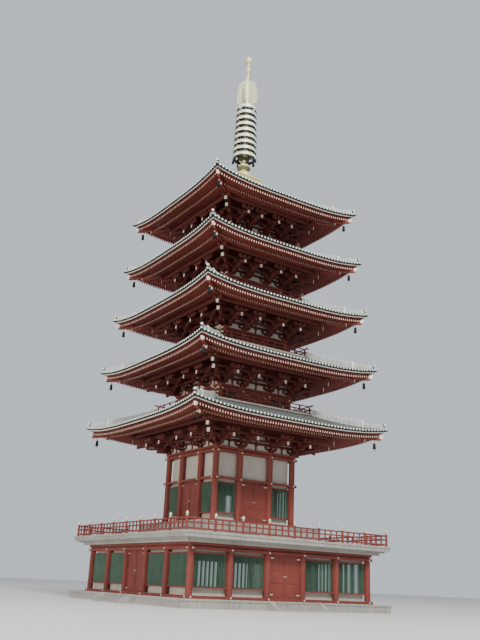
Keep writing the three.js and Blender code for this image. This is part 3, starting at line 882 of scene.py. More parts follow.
bell = {
    "setback": 0.58,
    "drop": 0.84,
    "hook": 0.66,  # where the hook meets the hip rafter, below the corner
    "cup": [(0.0, -0.1), (0.05, -0.1), (0.09, -0.13), (0.115, -0.19), (0.12, -0.42), (0.127, -0.44),
            (0.127, -0.47), (0.14, -0.53), (0.15, -0.58), (0.135, -0.58), (0.115, -0.5), (0.1, -0.2),
            (0.0, -0.15)],
    "hookRadius": 0.016,
    "stemRadius": 0.0112,
    "stem": [-0.04, -0.64],
    "hanger": [(0.02, 0.03), (0.05, 0.01), (0.06, -0.05), (0.07, -0.11), (0.0, -0.11)],
    "wing": [(-0.04, -0.62), (0.04, -0.62), (0.06, -0.72), (0.0, -0.69), (-0.06, -0.72)],
}


def windBells(storey):
    distance = storey.eaveHalf - bell["setback"]
    top = storey.corner - bell["drop"]
    high, low = (top + z for z in bell["stem"])
    cup = cast(bell["cup"], top, 14, 50)
    hook = rod((0, 0, top), (0, 0, storey.corner - bell["hook"]), bell["hookRadius"], 6)
    # the hanger cap is finished pale as a painted highlight on the bell top
    hanger = cast(bell["hanger"], top, 10, 50)
    stem = rod((0, 0, high), (0, 0, low), bell["stemRadius"], 6)
    wing = sawnFront(moved(bell["wing"], 0, top), -0.01, 0.01)
    whole = joined([cup, hook, stem, wing])
    for part in (whole, hanger):
        part.data.transform(shift(-distance, -distance))
    return fourSides(whole), fourSides(hanger)


for storey in storeys:
    n = storey.number
    boards = eaveBoards(storey)
    flyingTip = storey.eaveHalf - rafters["flying"]["setback"]
    flying, flyingEnds = rafterTier(storey, rafters["flying"], flyingTip - rafters["flying"]["run"])
    base, baseEnds = rafterTier(storey, rafters["base"], storey.wallInner + rafters["baseRoot"])
    hips, hipEnds = hipRafters(storey)
    # the eave boards take the darkened vermilion as painted shade under the tiles
    finished(f"eave_boards_{n}", boards, "vermilionShaded", [f"eaves_{n}"])
    finished(f"rafters_{n}", [flying, base], "vermilion")
    # the flying rafter ends take the dimmed, warmed pale paint as painted shade and bounce light
    finished(f"rafter_ends_{n}", flyingEnds, "palePaintWarmShade")
    # the inner rafter ends take the dimmed pale paint as painted shade
    finished(f"inner_rafter_ends_{n}", baseEnds, "palePaintShadeAndHighlight")
    finished(f"hip_rafters_{n}", hips, "vermilion")
    finished(f"hip_ends_{n}", hipEnds, "brightPaint")
    finished(f"eave_edge_{n}", paleEdge(storey), "brightPaint")
    bells, crowns = windBells(storey)
    finished(f"wind_bells_{n}", bells, "bellDark")
    # the bell tops are pale as a painted highlight on the dark bells
    finished(f"bell_crown_highlights_{n}", crowns, "palePaintShadeAndHighlight")
print("eaves built")

# Brackets: bearing blocks, arms along and out from the wall, beams, tail rafters and plaster panels

brackets = {
    "armWidth": 0.16,
    "armHeight": 0.17,
    "armEnd": [(-0.2, 0), (-0.1, 0.025), (-0.03, 0.07), (0, 0.12)],
    "armRoot": 0.05,
    "daito": {"size": 0.54, "foot": 0.36, "height": 0.22},
    "bearing": {"size": 0.25, "foot": 0.17, "height": 0.14},
    "wallArms": [(0.17, 0.62), (0.88, 0.6)],  # height above the wall plate, half length
    "wallBearings": [(0.34, 0.16, 0.52), (0.7, 0.18, 0.0), (1.05, 0.25, 0.5)],  # height, tallness, reach
    "outArms": [(0.12, 0.87), (0.4, 1.62)],  # height above the wall plate, reach
    "outBearings": [(0.29, 0.75), (0.57, 1.5)],
    "stepArms": [(0.4, 0.75, 0.5), (0.66, 1.5, 0.5), (0.86, 2.3, 0.56)],  # height, reach, half length
    "stepBearings": [(0.57, 0.75, 0.42), (0.82, 1.5, 0.42), (1.03, 2.3, 0.46)],
    "tail": (2.45, 0.41, 0.28),  # reach, underside of the end, depth
    "diagonalTails": [(2.2, 0.5, 0.32), (2.5, 0.96, 0.32)],
    "tailSlope": 0.28,
    "tailWidth": 0.2,
    "tailRoot": 0.1,
    "diagonalWidth": 0.24,
    "beams": [(0.0, 0.5, 0.2), (0.0, 1.3, 0.2), (0.0, 1.95, 0.16), (0.75, 0.66, 0.16), (1.5, 0.92, 0.16)],
    "beamHalf": 0.085,
    "boardHalf": 0.03,
    "panelHalf": 0.02,
    "panelTop": 1.3,
    "endDepth": 0.015,
    "purlinCross": 0.5,
    "strutHalf": 0.07,
    "struts": [(0, 0.36), (0.7, 1.16)],  # from and to, above the wall plate
}


def armOut(base, reach, z):
    root, high, side = base + brackets["armRoot"], z + brackets["armHeight"], brackets["armWidth"] / 2
    nose = moved(brackets["armEnd"], base + reach, z)
    return sawnSide([(root, z), *nose, (base + reach, high), (root, high)], -side, side)


def armAlong(base, reach, half, z):
    right = moved(brackets["armEnd"], half, z) + [(half, z + brackets["armHeight"])]
    y, side = -base - reach, brackets["armWidth"] / 2
    return sawnFront(bothHalves(right), y - side, y + side)


def bearingBlock(x, y, z, kind="bearing", height=None):  # spread upwards from a small foot
    sizes = brackets[kind]
    half = sizes["size"] / 2
    height = height or sizes["height"]
    made = block((x - half, x + half), (y - half, y + half), (z + height * 0.5, z + height))
    editFaces(made, lambda one: one.normal.z < -0.9)
    extrude((0, 0, -height * 0.5))
    shrink = sizes["foot"] / sizes["size"]
    bpy.ops.transform.resize(value=(shrink, shrink, 1))
    leaveEdit()
    return made


def bracketSet(base, top, withHeart):  # one set on the front at x = 0
    arms = [armOut(base, reach, top + z) for z, reach in brackets["outArms"]]
    arms += [armAlong(base, 0, half, top + z) for z, half in brackets["wallArms"]]
    arms += [armAlong(base, reach, half, top + z) for z, reach, half in brackets["stepArms"]]
    blocks = [bearingBlock(0, -base - reach, top + z) for z, reach in brackets["outBearings"]]
    for z, reach, out in brackets["stepBearings"]:
        places = (-out, out) if reach < 2 else (-out, 0, out)
        blocks += [bearingBlock(x, -base - reach, top + z) for x in places]
    for z, tall, out in brackets["wallBearings"]:
        for x in sorted({-out, 0.0, out}):  # without a reach there is one block
            if x or withHeart:
                blocks.append(bearingBlock(x, -base, top + z, height=tall))
    if withHeart:
        blocks.append(bearingBlock(0, -base, top, "daito"))
    return joined(arms), joined(blocks)


def tailRafter(base, top, width, reach, under, depth):
    low = top + under
    high = low + brackets["tailSlope"] * (reach + brackets["tailRoot"])
    root, tip, side = base - brackets["tailRoot"], base + reach, width / 2
    bar = sawnSide([(root, high), (tip, low), (tip, low + depth), (root, high + depth)], -side, side)
    return bar, block((-side, side), (-tip - brackets["endDepth"], -tip), (low, low + depth))


def bracketWork(storey):
    base, top = storey.columnHalf, storey.plateTop
    arms, blocks = bracketSet(base, top, True)
    cornerArms, cornerBlocks = bracketSet(base, top, False)
    bar, end = tailRafter(base, top, brackets["tailWidth"], *brackets["tail"])
    places = [shift(x=x) for x in storey.columns]
    allArms = joined(copiesAt(arms, places[:3]) + copiesAt(cornerArms, places[3:]))
    allBlocks = joined(copiesAt(blocks, places[:3]) + copiesAt(cornerBlocks, places[3:]))
    bars, ends = (joined(copiesAt(one, places)) for one in (bar, end))
    diagonals = [armOut(base, reach, top + z) for z, reach in brackets["outArms"]]
    diagonalEnds = []
    for facts in brackets["diagonalTails"]:
        bar, end = tailRafter(base, top, brackets["diagonalWidth"], *facts)
        diagonals.append(bar)
        diagonalEnds.append(end)
    diagonals += [bearingBlock(0, -base - reach, top + z) for z, reach in brackets["outBearings"]]
    cornerWork = toDiagonal(joined(diagonals))
    return (fourSides(joined([allArms, bars, cornerWork])), fourSides(allBlocks),
            fourSides(joined([ends, toDiagonal(joined(diagonalEnds))])))


def bracketBeams(storey):
    half, top = storey.columnHalf, storey.plateTop
    thick, board = brackets["beamHalf"], brackets["boardHalf"]
    beams = [squareRing(half + reach + thick, half + reach - thick, top + z, top + z + tall)
             for reach, z, tall in brackets["beams"]]
    high = raftersAt(storey, half) + 0.02
    return joined(beams + [squareRing(half + board, half - board, top + brackets["panelTop"], high)])


def purlins(storey):  # the beams under the rafters, crossed at the corners
    half = storey.columnHalf + tower["purlinReach"]
    high = raftersAt(storey, half + tower["purlinHalf"])
    log = beam(half + brackets["purlinCross"], -half, tower["purlinHalf"] - 0.01,
               high - tower["purlinHeight"] + 0.04, high)
    return smooth(fourSides(softEdges(log, 0.07, 3)))


def bracketPanels(storey):
    half, side, top = storey.columnHalf, brackets["panelHalf"], storey.plateTop
    return squareRing(half + side, half - side, top, top + brackets["panelTop"])


def bayStruts(storey):  # short posts that halve the panels
    base, top, side = storey.columnHalf, storey.plateTop, brackets["strutHalf"]
    outer = (storey.columnHalf + storey.middle) / 2
    places = {0: [-outer, 0, outer], 1: [-outer, 0, outer], 2: [0]}.get(storey.level, [])
    parts = []
    for x in places:
        for low, high in brackets["struts"]:
            parts.append(block((x - side, x + side), (-base - side, -base), (top + low, top + high)))
            parts.append(bearingBlock(x, -base, top + high))
    return [fourSides(joined(parts))] if parts else []


for storey in storeys:
    n = storey.number
    arms, blocks, ends = bracketWork(storey)
    blockParts = [blocks] + bayStruts(storey)
    # arms, blocks, beams and purlins take the darkened vermilion as painted shade under the eaves
    finished(f"bracket_arms_{n}", arms, "vermilionShaded", [f"brackets_{n}"])
    finished(f"bearing_blocks_{n}", blockParts, "vermilionShaded")
    finished(f"tail_ends_{n}", ends, "palePaint")
    finished(f"bracket_beams_{n}", bracketBeams(storey), "vermilionShaded")
    finished(f"bracket_panels_{n}", bracketPanels(storey), "plaster")
    finished(f"purlins_{n}", purlins(storey), "vermilionShaded", [f"eave_purlin_{n}"])
print("brackets set")

# Storey frames: columns, beams, doors, barred windows and their fittings

framing = {
    "columnSides": 18,
    "plateOut": 0.27,
    "plateIn": 0.2,
    "tieHalf": 0.1,
    "railOut": 0.07,  # how far the long rails stand out from the columns
    "railDepth": 0.16,
    "railHeight": 0.2,
    "soft": 0.012,
    "boss": [(0, 0), (0.075, 0), (0.075, 0.012), (0.04125, 0.03), (0.03, 0.05), (0, 0.06)],
    "barRadius": 0.035,
    "barPitch": 0.115,
    "windowFrame": 0.07,
}
door = {
    "front": 0.025,
    "border": 0.11,  # round the boards of a leaf, or a share of its height if that is less
    "borderShare": 0.13,
    "sunk": 0.03,
    "rails": [0.36, 0.66],  # shares of the height
    "straps": [0.08, 0.92],
    "strapLength": 0.32,
    "ring": [(0.045, -0.012), (0.06, -0.012), (0.06, 0.012), (0.045, 0.012)],
    "ringOut": 0.09,
}


def columnRow(half, columns, foot, head, radius):
    parts = [rod((x, -half, foot), (x, -half, head), radius, framing["columnSides"]) for x in columns[:-1]]
    return smooth(fourSides(joined(parts)), 50)


def longRail(half, radius, z):
    out = half + radius + framing["railOut"]
    rail = squareRing(out, out - framing["railDepth"], z, z + framing["railHeight"])
    return softEdges(rail, framing["soft"])


def bosses(half, columns, radius, z):
    face = half + radius + framing["railOut"]
    cap = toFront(turned(framing["boss"], 8), 0, -face, z + framing["railHeight"] / 2)
    return fourSides(joined(copiesAt(cap, [shift(x=x) for x in columns])))


def doorPair(half, opening, foot, head):  # two leaves, their boards and their metal fittings
    parts, metal = [], []
    height = head - foot
    for side in (-1, 1):
        x = sorted((side * 0.008, side * opening))
        leaf = block(x, (-half - door["front"], -half + 0.04), (foot, head))
        border = min(door["border"], height * door["borderShare"])
        press(leaf, lambda one: one.normal.y < -0.9, (border, (0, door["sunk"], 0)))
        parts.append(leaf)
        for share in door["rails"]:
            z = foot + height * share
            across = (x[0] + 0.05, x[1] - 0.05)
            parts.append(block(across, (-half - 0.022, -half + 0.02), (z - 0.04, z + 0.04)))
        for share in door["straps"]:
            z = foot + height * share
            strap = sorted((side * opening, side * (opening - door["strapLength"])))
            metal.append(block(strap, (-half - 0.034, -half - 0.024), (z - 0.035, z + 0.035)))
        ring = turned(door["ring"], 14, closed=True)
        metal.append(toFront(ring, side * door["ringOut"], -half - 0.04, foot + height / 2))
    return joined(parts), joined(metal)


def barredWindow(x, half, low, high):  # frame boards and upright bars set on edge
    board = framing["windowFrame"]
    y = (-half - 0.02, -half + 0.16)
    left, right = x[0] + 0.02, x[1] - 0.02
    frameBoards = [
        block((x[0] - board, left), y, (low - board, high + board)),
        block((right, x[1] + board), y, (low - board, high + board)),
        block((left, right), y, (low - board, low + 0.02)),
        block((left, right), y, (high - 0.02, high + board)),
    ]
    count = max(3, round((x[1] - x[0]) / framing["barPitch"]))
    pitch = (x[1] - x[0]) / count
    place = (x[0] + pitch / 2, -half + 0.07)
    bar = rod((*place, low), (*place, high), framing["barRadius"], 4)
    inRow(bar, count, pitch)
    return joined(frameBoards), bar


def wallWork(name, half, columns, radius, floor, doorTop, rails):
    sill = floor + tower["sillBeam"]
    height = doorTop - sill
    side = radius + tower["windowSide"]
    low, high = sill + height * tower["windowBottom"], doorTop - height * tower["windowTop"]
    bays = [(left, right) for left, right in zip(columns, columns[1:]) if not left < 0 < right]
    sets = [barredWindow((left + side, right - side), half, low, high) for left, right in bays]
    leaves, metal = doorPair(half, min(x for x in columns if x > 0) - radius, sill, doorTop)
    boards, bars = (fourSides(joined(list(parts))) for parts in zip(*sets))
    finished(f"doors_{name}", fourSides(leaves), "vermilion")
    finished(f"window_frames_{name}", boards, "vermilion")
    finished(f"window_bars_{name}", bars, "latticeGreen")
    caps = [bosses(half, columns, radius, z) for z in rails]
    finished(f"metal_fittings_{name}", [fourSides(metal)] + caps, "brass")


def frameWork(place, stands):  # the timber of a storey or of the hall
    name, half, radius = place.number, place.columnHalf, place.radius
    rails = [place.floor, place.panelTop - 0.02]
    if place.doorTop < place.panelTop:
        rails.append(place.doorTop)
    outer, inner, tie = half + framing["plateOut"], half - framing["plateIn"], framing["tieHalf"]
    beams = [softEdges(squareRing(outer, inner, place.plateBottom, place.plateTop), framing["soft"]),
             squareRing(half + tie, half - tie, place.panelTop, place.plateBottom)]
    beams += [longRail(half, radius, z) for z in rails]
    columns = columnRow(half, place.columns, place.floor, place.plateBottom, radius)
    finished(f"columns_{name}", columns, "vermilion", stands)
    finished(f"beams_{name}", beams, "vermilion")
    wallWork(name, half, place.columns, radius, place.floor, place.doorTop, rails)


for storey in storeys:
    frameWork(storey, [f"frame_{storey.number}"])
print("storeys framed")

# Balconies: planked floors with a pale edge, and railings with crossed ends

balcony = {
    "planks": 40,
    "plankGap": 0.012,
    "plankDepth": 0.03,
    "edge": 0.1,
    "edgeOut": 0.015,
    "railSetback": 0.14,
    "railTop": 0.72,
    "railMiddle": 0.35,
    "railRadius": 0.05,
    "crossing": 0.4,  # how far the rails pass the corners
    "middleCrossing": 0.34,
    "footCrossing": 0.28,
    "upturn": 0.09,
    "upturnStart": 0.25,
    "postHalf": 0.055,
    "postStep": 1.1,
    "sleeves": [(0.2, 0.415, 0.0396, 0.09), (-0.09, 0.09, 0, 0)],  # from, to, and the lifts there
    "shoes": [(0.2, 0.352, 0.045, 0.295, 0.405), (0.16, 0.292, 0.06, 0.01, 0.14)],  # from, to, side, heights
}


def balconyPlanks(storey):
    half, floor, gap = storey.balconyHalf, storey.floor, balcony["plankGap"] / 2
    pitch = 2 * half / balcony["planks"]
    plank = block((-half + gap, -half + pitch - gap), (-half + 0.01, -storey.wallOuter),
                  (floor - 0.01, floor + balcony["plankDepth"]))
    inRow(plank, balcony["planks"], pitch)
    return fourSides(trimToHips(plank))


def balconyEdge(storey):
    half, floor, depth = storey.balconyHalf, storey.floor, balcony["edge"]
    return softEdges(squareRing(half + balcony["edgeOut"], half - depth, floor - depth, floor + 0.01), 0.01)


def upturnedRail(half, z):  # a round rail whose crossed ends curve up
    end, start = half + balcony["crossing"], half - balcony["upturnStart"]
    bar = rod((-end, -half, z), (end, -half, z), balcony["railRadius"], 8)
    cutAlong(bar, lambda a, b: abs(a.x - b.x) > 1, 27)
    for point in bar.data.vertices:
        over = max(0, abs(point.co.x) - start) / (end - start)
        point.co.z += balcony["upturn"] * over * over
    return smooth(bar, 50)


def railing(half, floor):
    count = max(2, round(2 * half / balcony["postStep"]))
    pitch = 2 * half / count
    middle, under = floor + balcony["railMiddle"], floor + balcony["railTop"] - balcony["railRadius"]
    foot = beam(half + balcony["footCrossing"], -half, 0.05, floor + 0.02, floor + 0.13)
    mid = beam(half + balcony["middleCrossing"], -half, 0.035, middle - 0.045, middle + 0.045)
    rail = upturnedRail(half, under)
    post = (-half - balcony["postHalf"], -half + balcony["postHalf"])
    posts = inRow(block(post, post, (floor, under)), count, pitch)
    x = -half + pitch / 2
    strut = block((x - 0.035, x + 0.035), (-half - 0.035, -half + 0.035), (floor + 0.12, middle))
    return fourSides(joined([foot, mid, rail, posts, inRow(strut, count, pitch)]))


def railFittings(half, floor):
    z = floor + balcony["railTop"] - balcony["railRadius"]
    parts = []
    for side in (-1, 1):
        for inner, outer, low, high in balcony["sleeves"]:
            ends = sorted([(side * (half + inner), low), (side * (half + outer), high)])
            start, end = ((x, -half, z + lift) for x, lift in ends)
            parts.append(rod(start, end, balcony["railRadius"] + 0.012, 8))
        for inner, outer, wide, low, high in balcony["shoes"]:
            x = sorted((side * (half + inner), side * (half + outer)))
            parts.append(block(x, (-half - wide, -half + wide), (floor + low, floor + high)))
    return fourSides(joined(parts))


for storey in storeys[1:]:
    n = storey.number
    place = (storey.balconyHalf - balcony["railSetback"], storey.floor)
    rails = railing(*place)
    # the planks take the darkened vermilion as painted shade
    finished(f"balcony_planks_{n}", balconyPlanks(storey), "vermilionShaded")
    finished(f"balcony_edge_{n}", balconyEdge(storey), "palePaint")
    finished(f"railing_{n}", rails, "vermilion", [f"balcony_railing_{n}"])
    finished(f"rail_fittings_{n}", railFittings(*place), "brass")
print("balconies railed")

# Finial: basin, bowl, lotus, nine rings with bells, openwork flames, wheel and jewel

crown = {
    "foot": 38.0,
    "basinTop": 38.87,
    "basinHalf": 1.24,
    "basinBody": (0.16, 0.2),  # above the foot, and below the top
    "panelBorder": 0.07,
    "panelDepth": 0.035,
    "lowCourses": [(1.3, 0, 0.1), (1.26, 0.1, 0.17)],  # half size, and heights from the foot
    "highCourses": [(1.16, -0.21, -0.09), (1.32, -0.1, 0)],  # and from the top
    "bowl": [(0.86, 0), (0.86, 0.06), (0.81, 0.08), (0.81, 0.4), (0.83, 0.42), (0.83, 0.46), (0.8, 0.48),
             (0.76, 0.62), (0.68, 0.76), (0.56, 0.88), (0.41, 0.96), (0.3, 0.99), (0.24, 1.03), (0.22, 1.12),
             (0.3, 1.2)],
    "lotusFoot": 40.04,
    "lotusCup": [(0.24, 0), (0.5, 0.02), (0.64, 0.09), (0.67, 0.2), (0.6, 0.27), (0.52, 0.28), (0.46, 0.42),
                 (0.3, 0.44), (0.14, 0.44)],
    "petalFoot": 0.12,
    "petals": [(0.66, 0.336, 0.25, 0.5, 0), (0.5, 0.48, 0.2, 0.34, 0.5)],  # reach, height, width, root, turn
    "petalThickness": 0.03,
    "mastFoot": 40.6,
    "mast": 0.11,
    "tubeFoot": [(0.25, 0), (0.25, 0.08), (0.19, 0.12)],
    "tubeHead": [(0.19, -0.08), (0.24, -0.04), (0.24, 0)],
    "rings": 9,
    "lowestRing": 41.4,
    "ringStep": 0.69,
    "ringRadius": [1.16, 0.98],
    "ring": [(-0.06, -0.15), (0, -0.15), (0, -0.1), (-0.02, -0.09), (-0.02, 0.09), (0, 0.1), (0, 0.15),
             (-0.06, 0.15)],
    "innerShade": [(-0.072, -0.14), (-0.056, -0.14), (-0.056, 0.14), (-0.072, 0.14)],
    "dish": [(0.17, -0.3), (0.23, -0.29), (0.405, -0.22), (0.54, -0.12), (0.54, 0.06), (0.29, 0.12),
             (0.17, 0.13)],
    "spokeRoot": [(0.51, 0.05), (0.51, -0.06)],
    "spokeTip": [(-0.06, -0.1), (-0.06, 0.1)],
    "spokeHalf": 0.03,
    "bell": [(0.0, 0.33), (0.07, 0.32), (0.1, 0.28), (0.115, 0.12), (0.14, 0.0), (0.12, 0.0), (0.0, 0.24)],
    "bellDrop": 0.51,
    "bellHook": (0.31, 0.38),
    "bellSetback": 0.05,
    "flameFoot": 47.6,
    "flameTop": 50.5,
    "flameRoot": 0.08,
    "flameSway": 0.04,
    "flameColumns": 8,
    "flameReach": [0.97, 0.98, 0.99, 1.0, 1.0, 1.01, 1.01, 1.0, 1.0, 0.99, 0.98, 0.97, 0.96, 0.94, 0.92, 0.9,
                   0.87, 0.84, 0.8, 0.74, 0.66, 0.54, 0.34],
    "flameTooth": (0.05, 0.08),  # how far every second edge point stands out and up
    "lace": 0.05,
    "flameSleeve": [(0.2, 0), (0.2, 0.1), (0.15, 0.2)],
    "flameCollar": [(0.14, -0.5), (0.17, -0.35), (0.12, -0.25)],
    "wheel": 51.7,
    "ball": [(0.11, -0.36), (0.15, -0.34), (0.22, -0.3), (0.28, -0.22), (0.29, -0.12), (0.27, 0.0),
             (0.22, 0.12), (0.17, 0.24), (0.13, 0.38), (0.11, 0.42)],
    "jewel": 52.9,
    "gem": [(0.1, -0.4), (0.16, -0.38), (0.25, -0.3), (0.33, -0.17), (0.36, -0.02), (0.33, 0.13),
            (0.25, 0.26), (0.14, 0.35), (0.06, 0.4), (0.0, 0.42)],
}


def basinWork():
    low, top, half = crown["foot"], crown["basinTop"], crown["basinHalf"]
    foot, head = crown["basinBody"]
    body = block((-half, half), (-half, half), (low + foot, top - head))
    for side in range(4):
        away = Matrix.Rotation(side * quarterTurn, 3, "Z") @ Vector((0, -1, 0))
        press(body, lambda one: one.normal.dot(away) > 0.9 and one.center.dot(away) > half - 0.01,
              (crown["panelBorder"], tuple(-crown["panelDepth"] * away)))
    courses = [(wide, low + a, low + b) for wide, a, b in crown["lowCourses"]]
    courses += [(wide, top + a, top + b) for wide, a, b in crown["highCourses"]]
    return [body] + [softEdges(block((-wide, wide), (-wide, wide), (a, b)), 0.012) for wide, a, b in courses]


def petal(reach, height, width, start):
    deselectAll()
    bpy.ops.mesh.primitive_grid_add(x_subdivisions=4, y_subdivisions=6, size=2)
    leaf = bpy.context.object
    for point in leaf.data.vertices:
        across, along = point.co.x, (point.co.y + 1) / 2
        broad = width * math.sin(math.pi * min(1, 0.28 + 0.72 * along)) ** 0.6 if along < 1 else 0.0
        flare = 0.16 * max(0, along - 0.6)
        out = start + (reach - start - 0.06) * along ** 0.55 + flare - 0.08 * across * across
        point.co = (across * broad, -out, height * along ** 1.25)
    mergePoints(leaf)
    return smooth(modified(leaf, "SOLIDIFY", thickness=crown["petalThickness"]), 60)


def lotusPetals():
    petals = []
    foot = shift(z=crown["lotusFoot"] + crown["petalFoot"])
    for *sizes, start in crown["petals"]:
        petals += copiesAt(petal(*sizes), [foot @ place for place in around(8, start)])
    return petals


def ringHub(radius, z):  # the dish in the middle of a ring and the spokes that carry the ring
    outline = moved(crown["spokeRoot"], 0, z) + moved(crown["spokeTip"], radius, z)
    spoke = sawnSide(outline, -crown["spokeHalf"], crown["spokeHalf"])
    return joined([hoop(crown["dish"], z, 20)] + copiesAt(spoke, around(8, 0.5)))


def ringBells(radius, z):
    low = z - crown["bellDrop"]
    shell = cast(crown["bell"], low, 8, 50)
    start, end = ((0, 0, low + up) for up in crown["bellHook"])
    one = joined([shell, rod(start, end, 0.02, 4)])
    one.data.transform(shift(y=-radius + crown["bellSetback"]))
    return joined(copiesAt(one, around(8)))


def flamePlate():  # openwork, made from the edges of a net
    low, top, reaches, root = (crown[key] for key in ("flameFoot", "flameTop", "flameReach", "flameRoot"))
    columns, rows = crown["flameColumns"], len(reaches) - 1
    deselectAll()
    bpy.ops.mesh.primitive_grid_add(x_subdivisions=columns, y_subdivisions=rows, size=2)
    plate = bpy.context.object
    for point in plate.data.vertices:
        across, along = (point.co.x + 1) / 2, (point.co.y + 1) / 2
        row, column = round(along * rows), round(across * columns)
        out = root + (reaches[row] - root) * across
        sway = crown["flameSway"] * math.sin(row * 2.1 + column * 1.7) if 0 < column < columns else 0
        lift = 0.1 * across * across
        if column == columns and row % 2:
            out, lift = out + crown["flameTooth"][0], lift + crown["flameTooth"][1]
        point.co = (0, -out - sway, low + (top - low - 0.18) * along + lift)
    editFaces(plate)
    bpy.ops.mesh.poke()
    leaveEdit()
    return modified(plate, "WIREFRAME", thickness=crown["lace"], use_even_offset=False)


def flameWork():
    sleeve = moved(crown["flameSleeve"], 0, crown["flameFoot"])
    sleeve += moved(crown["flameCollar"], 0, crown["flameTop"])
    plates = copiesAt(flamePlate(), around(4, 0.5))
    return [cast(sleeve, 0, 12)] + plates


def mastWork():
    flame = crown["flameFoot"]
    tube = moved(crown["tubeFoot"], 0, crown["mastFoot"]) + moved(crown["tubeHead"], 0, flame)
    return [cast(tube, 0, 16), rod((0, 0, flame - 0.1), (0, 0, crown["jewel"] - 0.2), crown["mast"], 12)]


widest, narrowest = crown["ringRadius"]
ringSteps = [(widest + (narrowest - widest) * k / (crown["rings"] - 1),
              crown["lowestRing"] + crown["ringStep"] * k) for k in range(crown["rings"])]
finished("finial_basin", basinWork(), "gilt", ["dew_basin"])
bowl = cast(crown["bowl"], crown["basinTop"], 32, 35)
finished("finial_bowl", bowl, "gilt", ["inverted_bowl"])
cup = cast(crown["lotusCup"], crown["lotusFoot"], 36)
# the lotus cup takes the darker gilt as painted shade under the petals
finished("finial_lotus", cup, "giltShaded", ["lotus_flower"])
finished("lotus_petals", lotusPetals(), "gilt")
finished("finial_mast", mastWork(), "gilt", ["mast_and_rings"])
rings = [hoop(moved(crown["ring"], radius, 0), z, 40) for radius, z in ringSteps]
# the ring bands take the paler gilt as painted sunlight
finished("finial_rings", rings, "giltSunlit")
# the hubs and spokes take the darkest gilt as painted shade inside the rings
finished("ring_hubs", [ringHub(*step) for step in ringSteps], "giltDeepShade")
# a dark hoop inside each ring band: painted shade on its inner face
innerShadeHoops = [hoop(moved(crown["innerShade"], radius, 0), z, 36) for radius, z in ringSteps]
finished("ring_inner_shade", innerShadeHoops, "bronzeAndRingShade")
finished("ring_bells", [ringBells(*step) for step in ringSteps], "bronzeAndRingShade")
# the flames take the paler gilt as painted sunlight
finished("finial_flames", flameWork(), "giltSunlit", ["water_flame"])
finished("finial_wheel", cast(crown["ball"], crown["wheel"], 20), "gilt", ["dragon_wheel"])
finished("finial_gem", cast(crown["gem"], crown["jewel"], 20), "gilt", ["finial_jewel"])
print("finial raised")

# Podium: hall front, stone kerbs, stair cheeks and the terrace railing

podium = {
    "columns": [-8.2, -4.92, -1.64, 1.64, 4.92, 8.2],
    "columnRadius": 0.24,
    "floor": 0.6,
    "plateTop": 4.3,
    "plateHeight": 0.16,
    "plinthHalf": 9.5,
    "terraceHalf": 9.5,
    "terraceTop": 5.0,
    "kerbOut": 0.05,
    "kerbRise": 0.004,  # how far the stones stand over the floors
    "platformHalf": 5.4,
    "platformTop": 6.2,
    "platformPosts": 9,
    "platformStair": (1.5, 7, 0.3),  # half width, steps, run of a step
    "plinthStair": (2.1, 3, 0.34),
    "cheek": 0.3,
    "railingHalf": 9.3,
    "railingTop": 0.95,
    "railingMiddle": 0.55,
    "railingStep": 2.3,
    "cap": [(0.07, 0), (0.1, 0.02), (0.1, 0.06), (0.06, 0.09), (0.1, 0.15), (0.115, 0.21), (0.08, 0.28),
            (0.03, 0.33), (0.0, 0.36)],
}


def kerb(outer, inner, low, high, soft=0.015):
    return softEdges(squareRing(outer, inner, low, high), soft)


def stairCheeks(half, stair, low, high):  # sloping stones at both sides of a flight
    wide, steps, run = stair
    thick = podium["cheek"]
    foot, root, top = half + steps * run, half - 0.1, high + 0.03
    outline = [(root, low), (foot, low), (foot, low + 0.14), (half + run * 0.4, top), (root, top)]
    stones = [softEdges(sawnSide(outline, x, x + thick), 0.015) for x in (-wide - thick, wide)]
    return fourSides(joined(stones))


def platformStones():
    half, low, top = podium["platformHalf"], podium["terraceTop"], podium["platformTop"]
    parts = [kerb(half + 0.06, half - 0.6, top - 0.16, top + podium["kerbRise"]),
             kerb(half + 0.08, half - 0.2, low, low + 0.18)]
    count = podium["platformPosts"]
    side = (-half - 0.04, -half + 0.16)
    post = block(side, side, (low + 0.18, top - 0.16))
    parts.append(fourSides(inRow(post, count, 2 * half / count)))
    return parts + [stairCheeks(half, podium["platformStair"], low, top)]


def plinthStones():
    half, top = podium["plinthHalf"], podium["floor"]
    edge = kerb(half + podium["kerbOut"], half - 0.7, top - 0.14, top + podium["kerbRise"])
    return [edge, stairCheeks(half, podium["plinthStair"], 0.0, top)]


def terraceStones():
    half, top, low = podium["terraceHalf"], podium["terraceTop"], podium["plateTop"]
    return [kerb(half + podium["kerbOut"], half - 0.5, top - 0.16, top + podium["kerbRise"]),
            kerb(half - 0.3, half - 0.55, low + 0.2, low + 0.34, 0.012)]


def terraceFence():
    half, floor = podium["railingHalf"], podium["terraceTop"]
    top, middle = floor + podium["railingTop"], floor + podium["railingMiddle"]
    count = round(2 * half / podium["railingStep"])
    pitch = 2 * half / count
    foot = beam(half, -half, 0.06, floor + 0.1, floor + 0.22)
    mid = beam(half, -half, 0.045, middle - 0.05, middle + 0.05)
    rail = smooth(rod((-half, -half, top - 0.1), (half, -half, top - 0.1), 0.055, 10))
    post = rod((-half, -half, floor), (-half, -half, top + 0.02), 0.09, 12)
    x = -half + pitch / 4
    strut = block((x - 0.04, x + 0.04), (-half - 0.04, -half + 0.04), (floor + 0.2, top - 0.12))
    posts = smooth(inRow(post, count, pitch))
    struts = joined(copiesAt(strut, [shift(x=pitch * share) for share in (0, 0.25, 0.5)]))
    return fourSides(joined([foot, mid, rail, posts, inRow(struts, count, pitch)]))


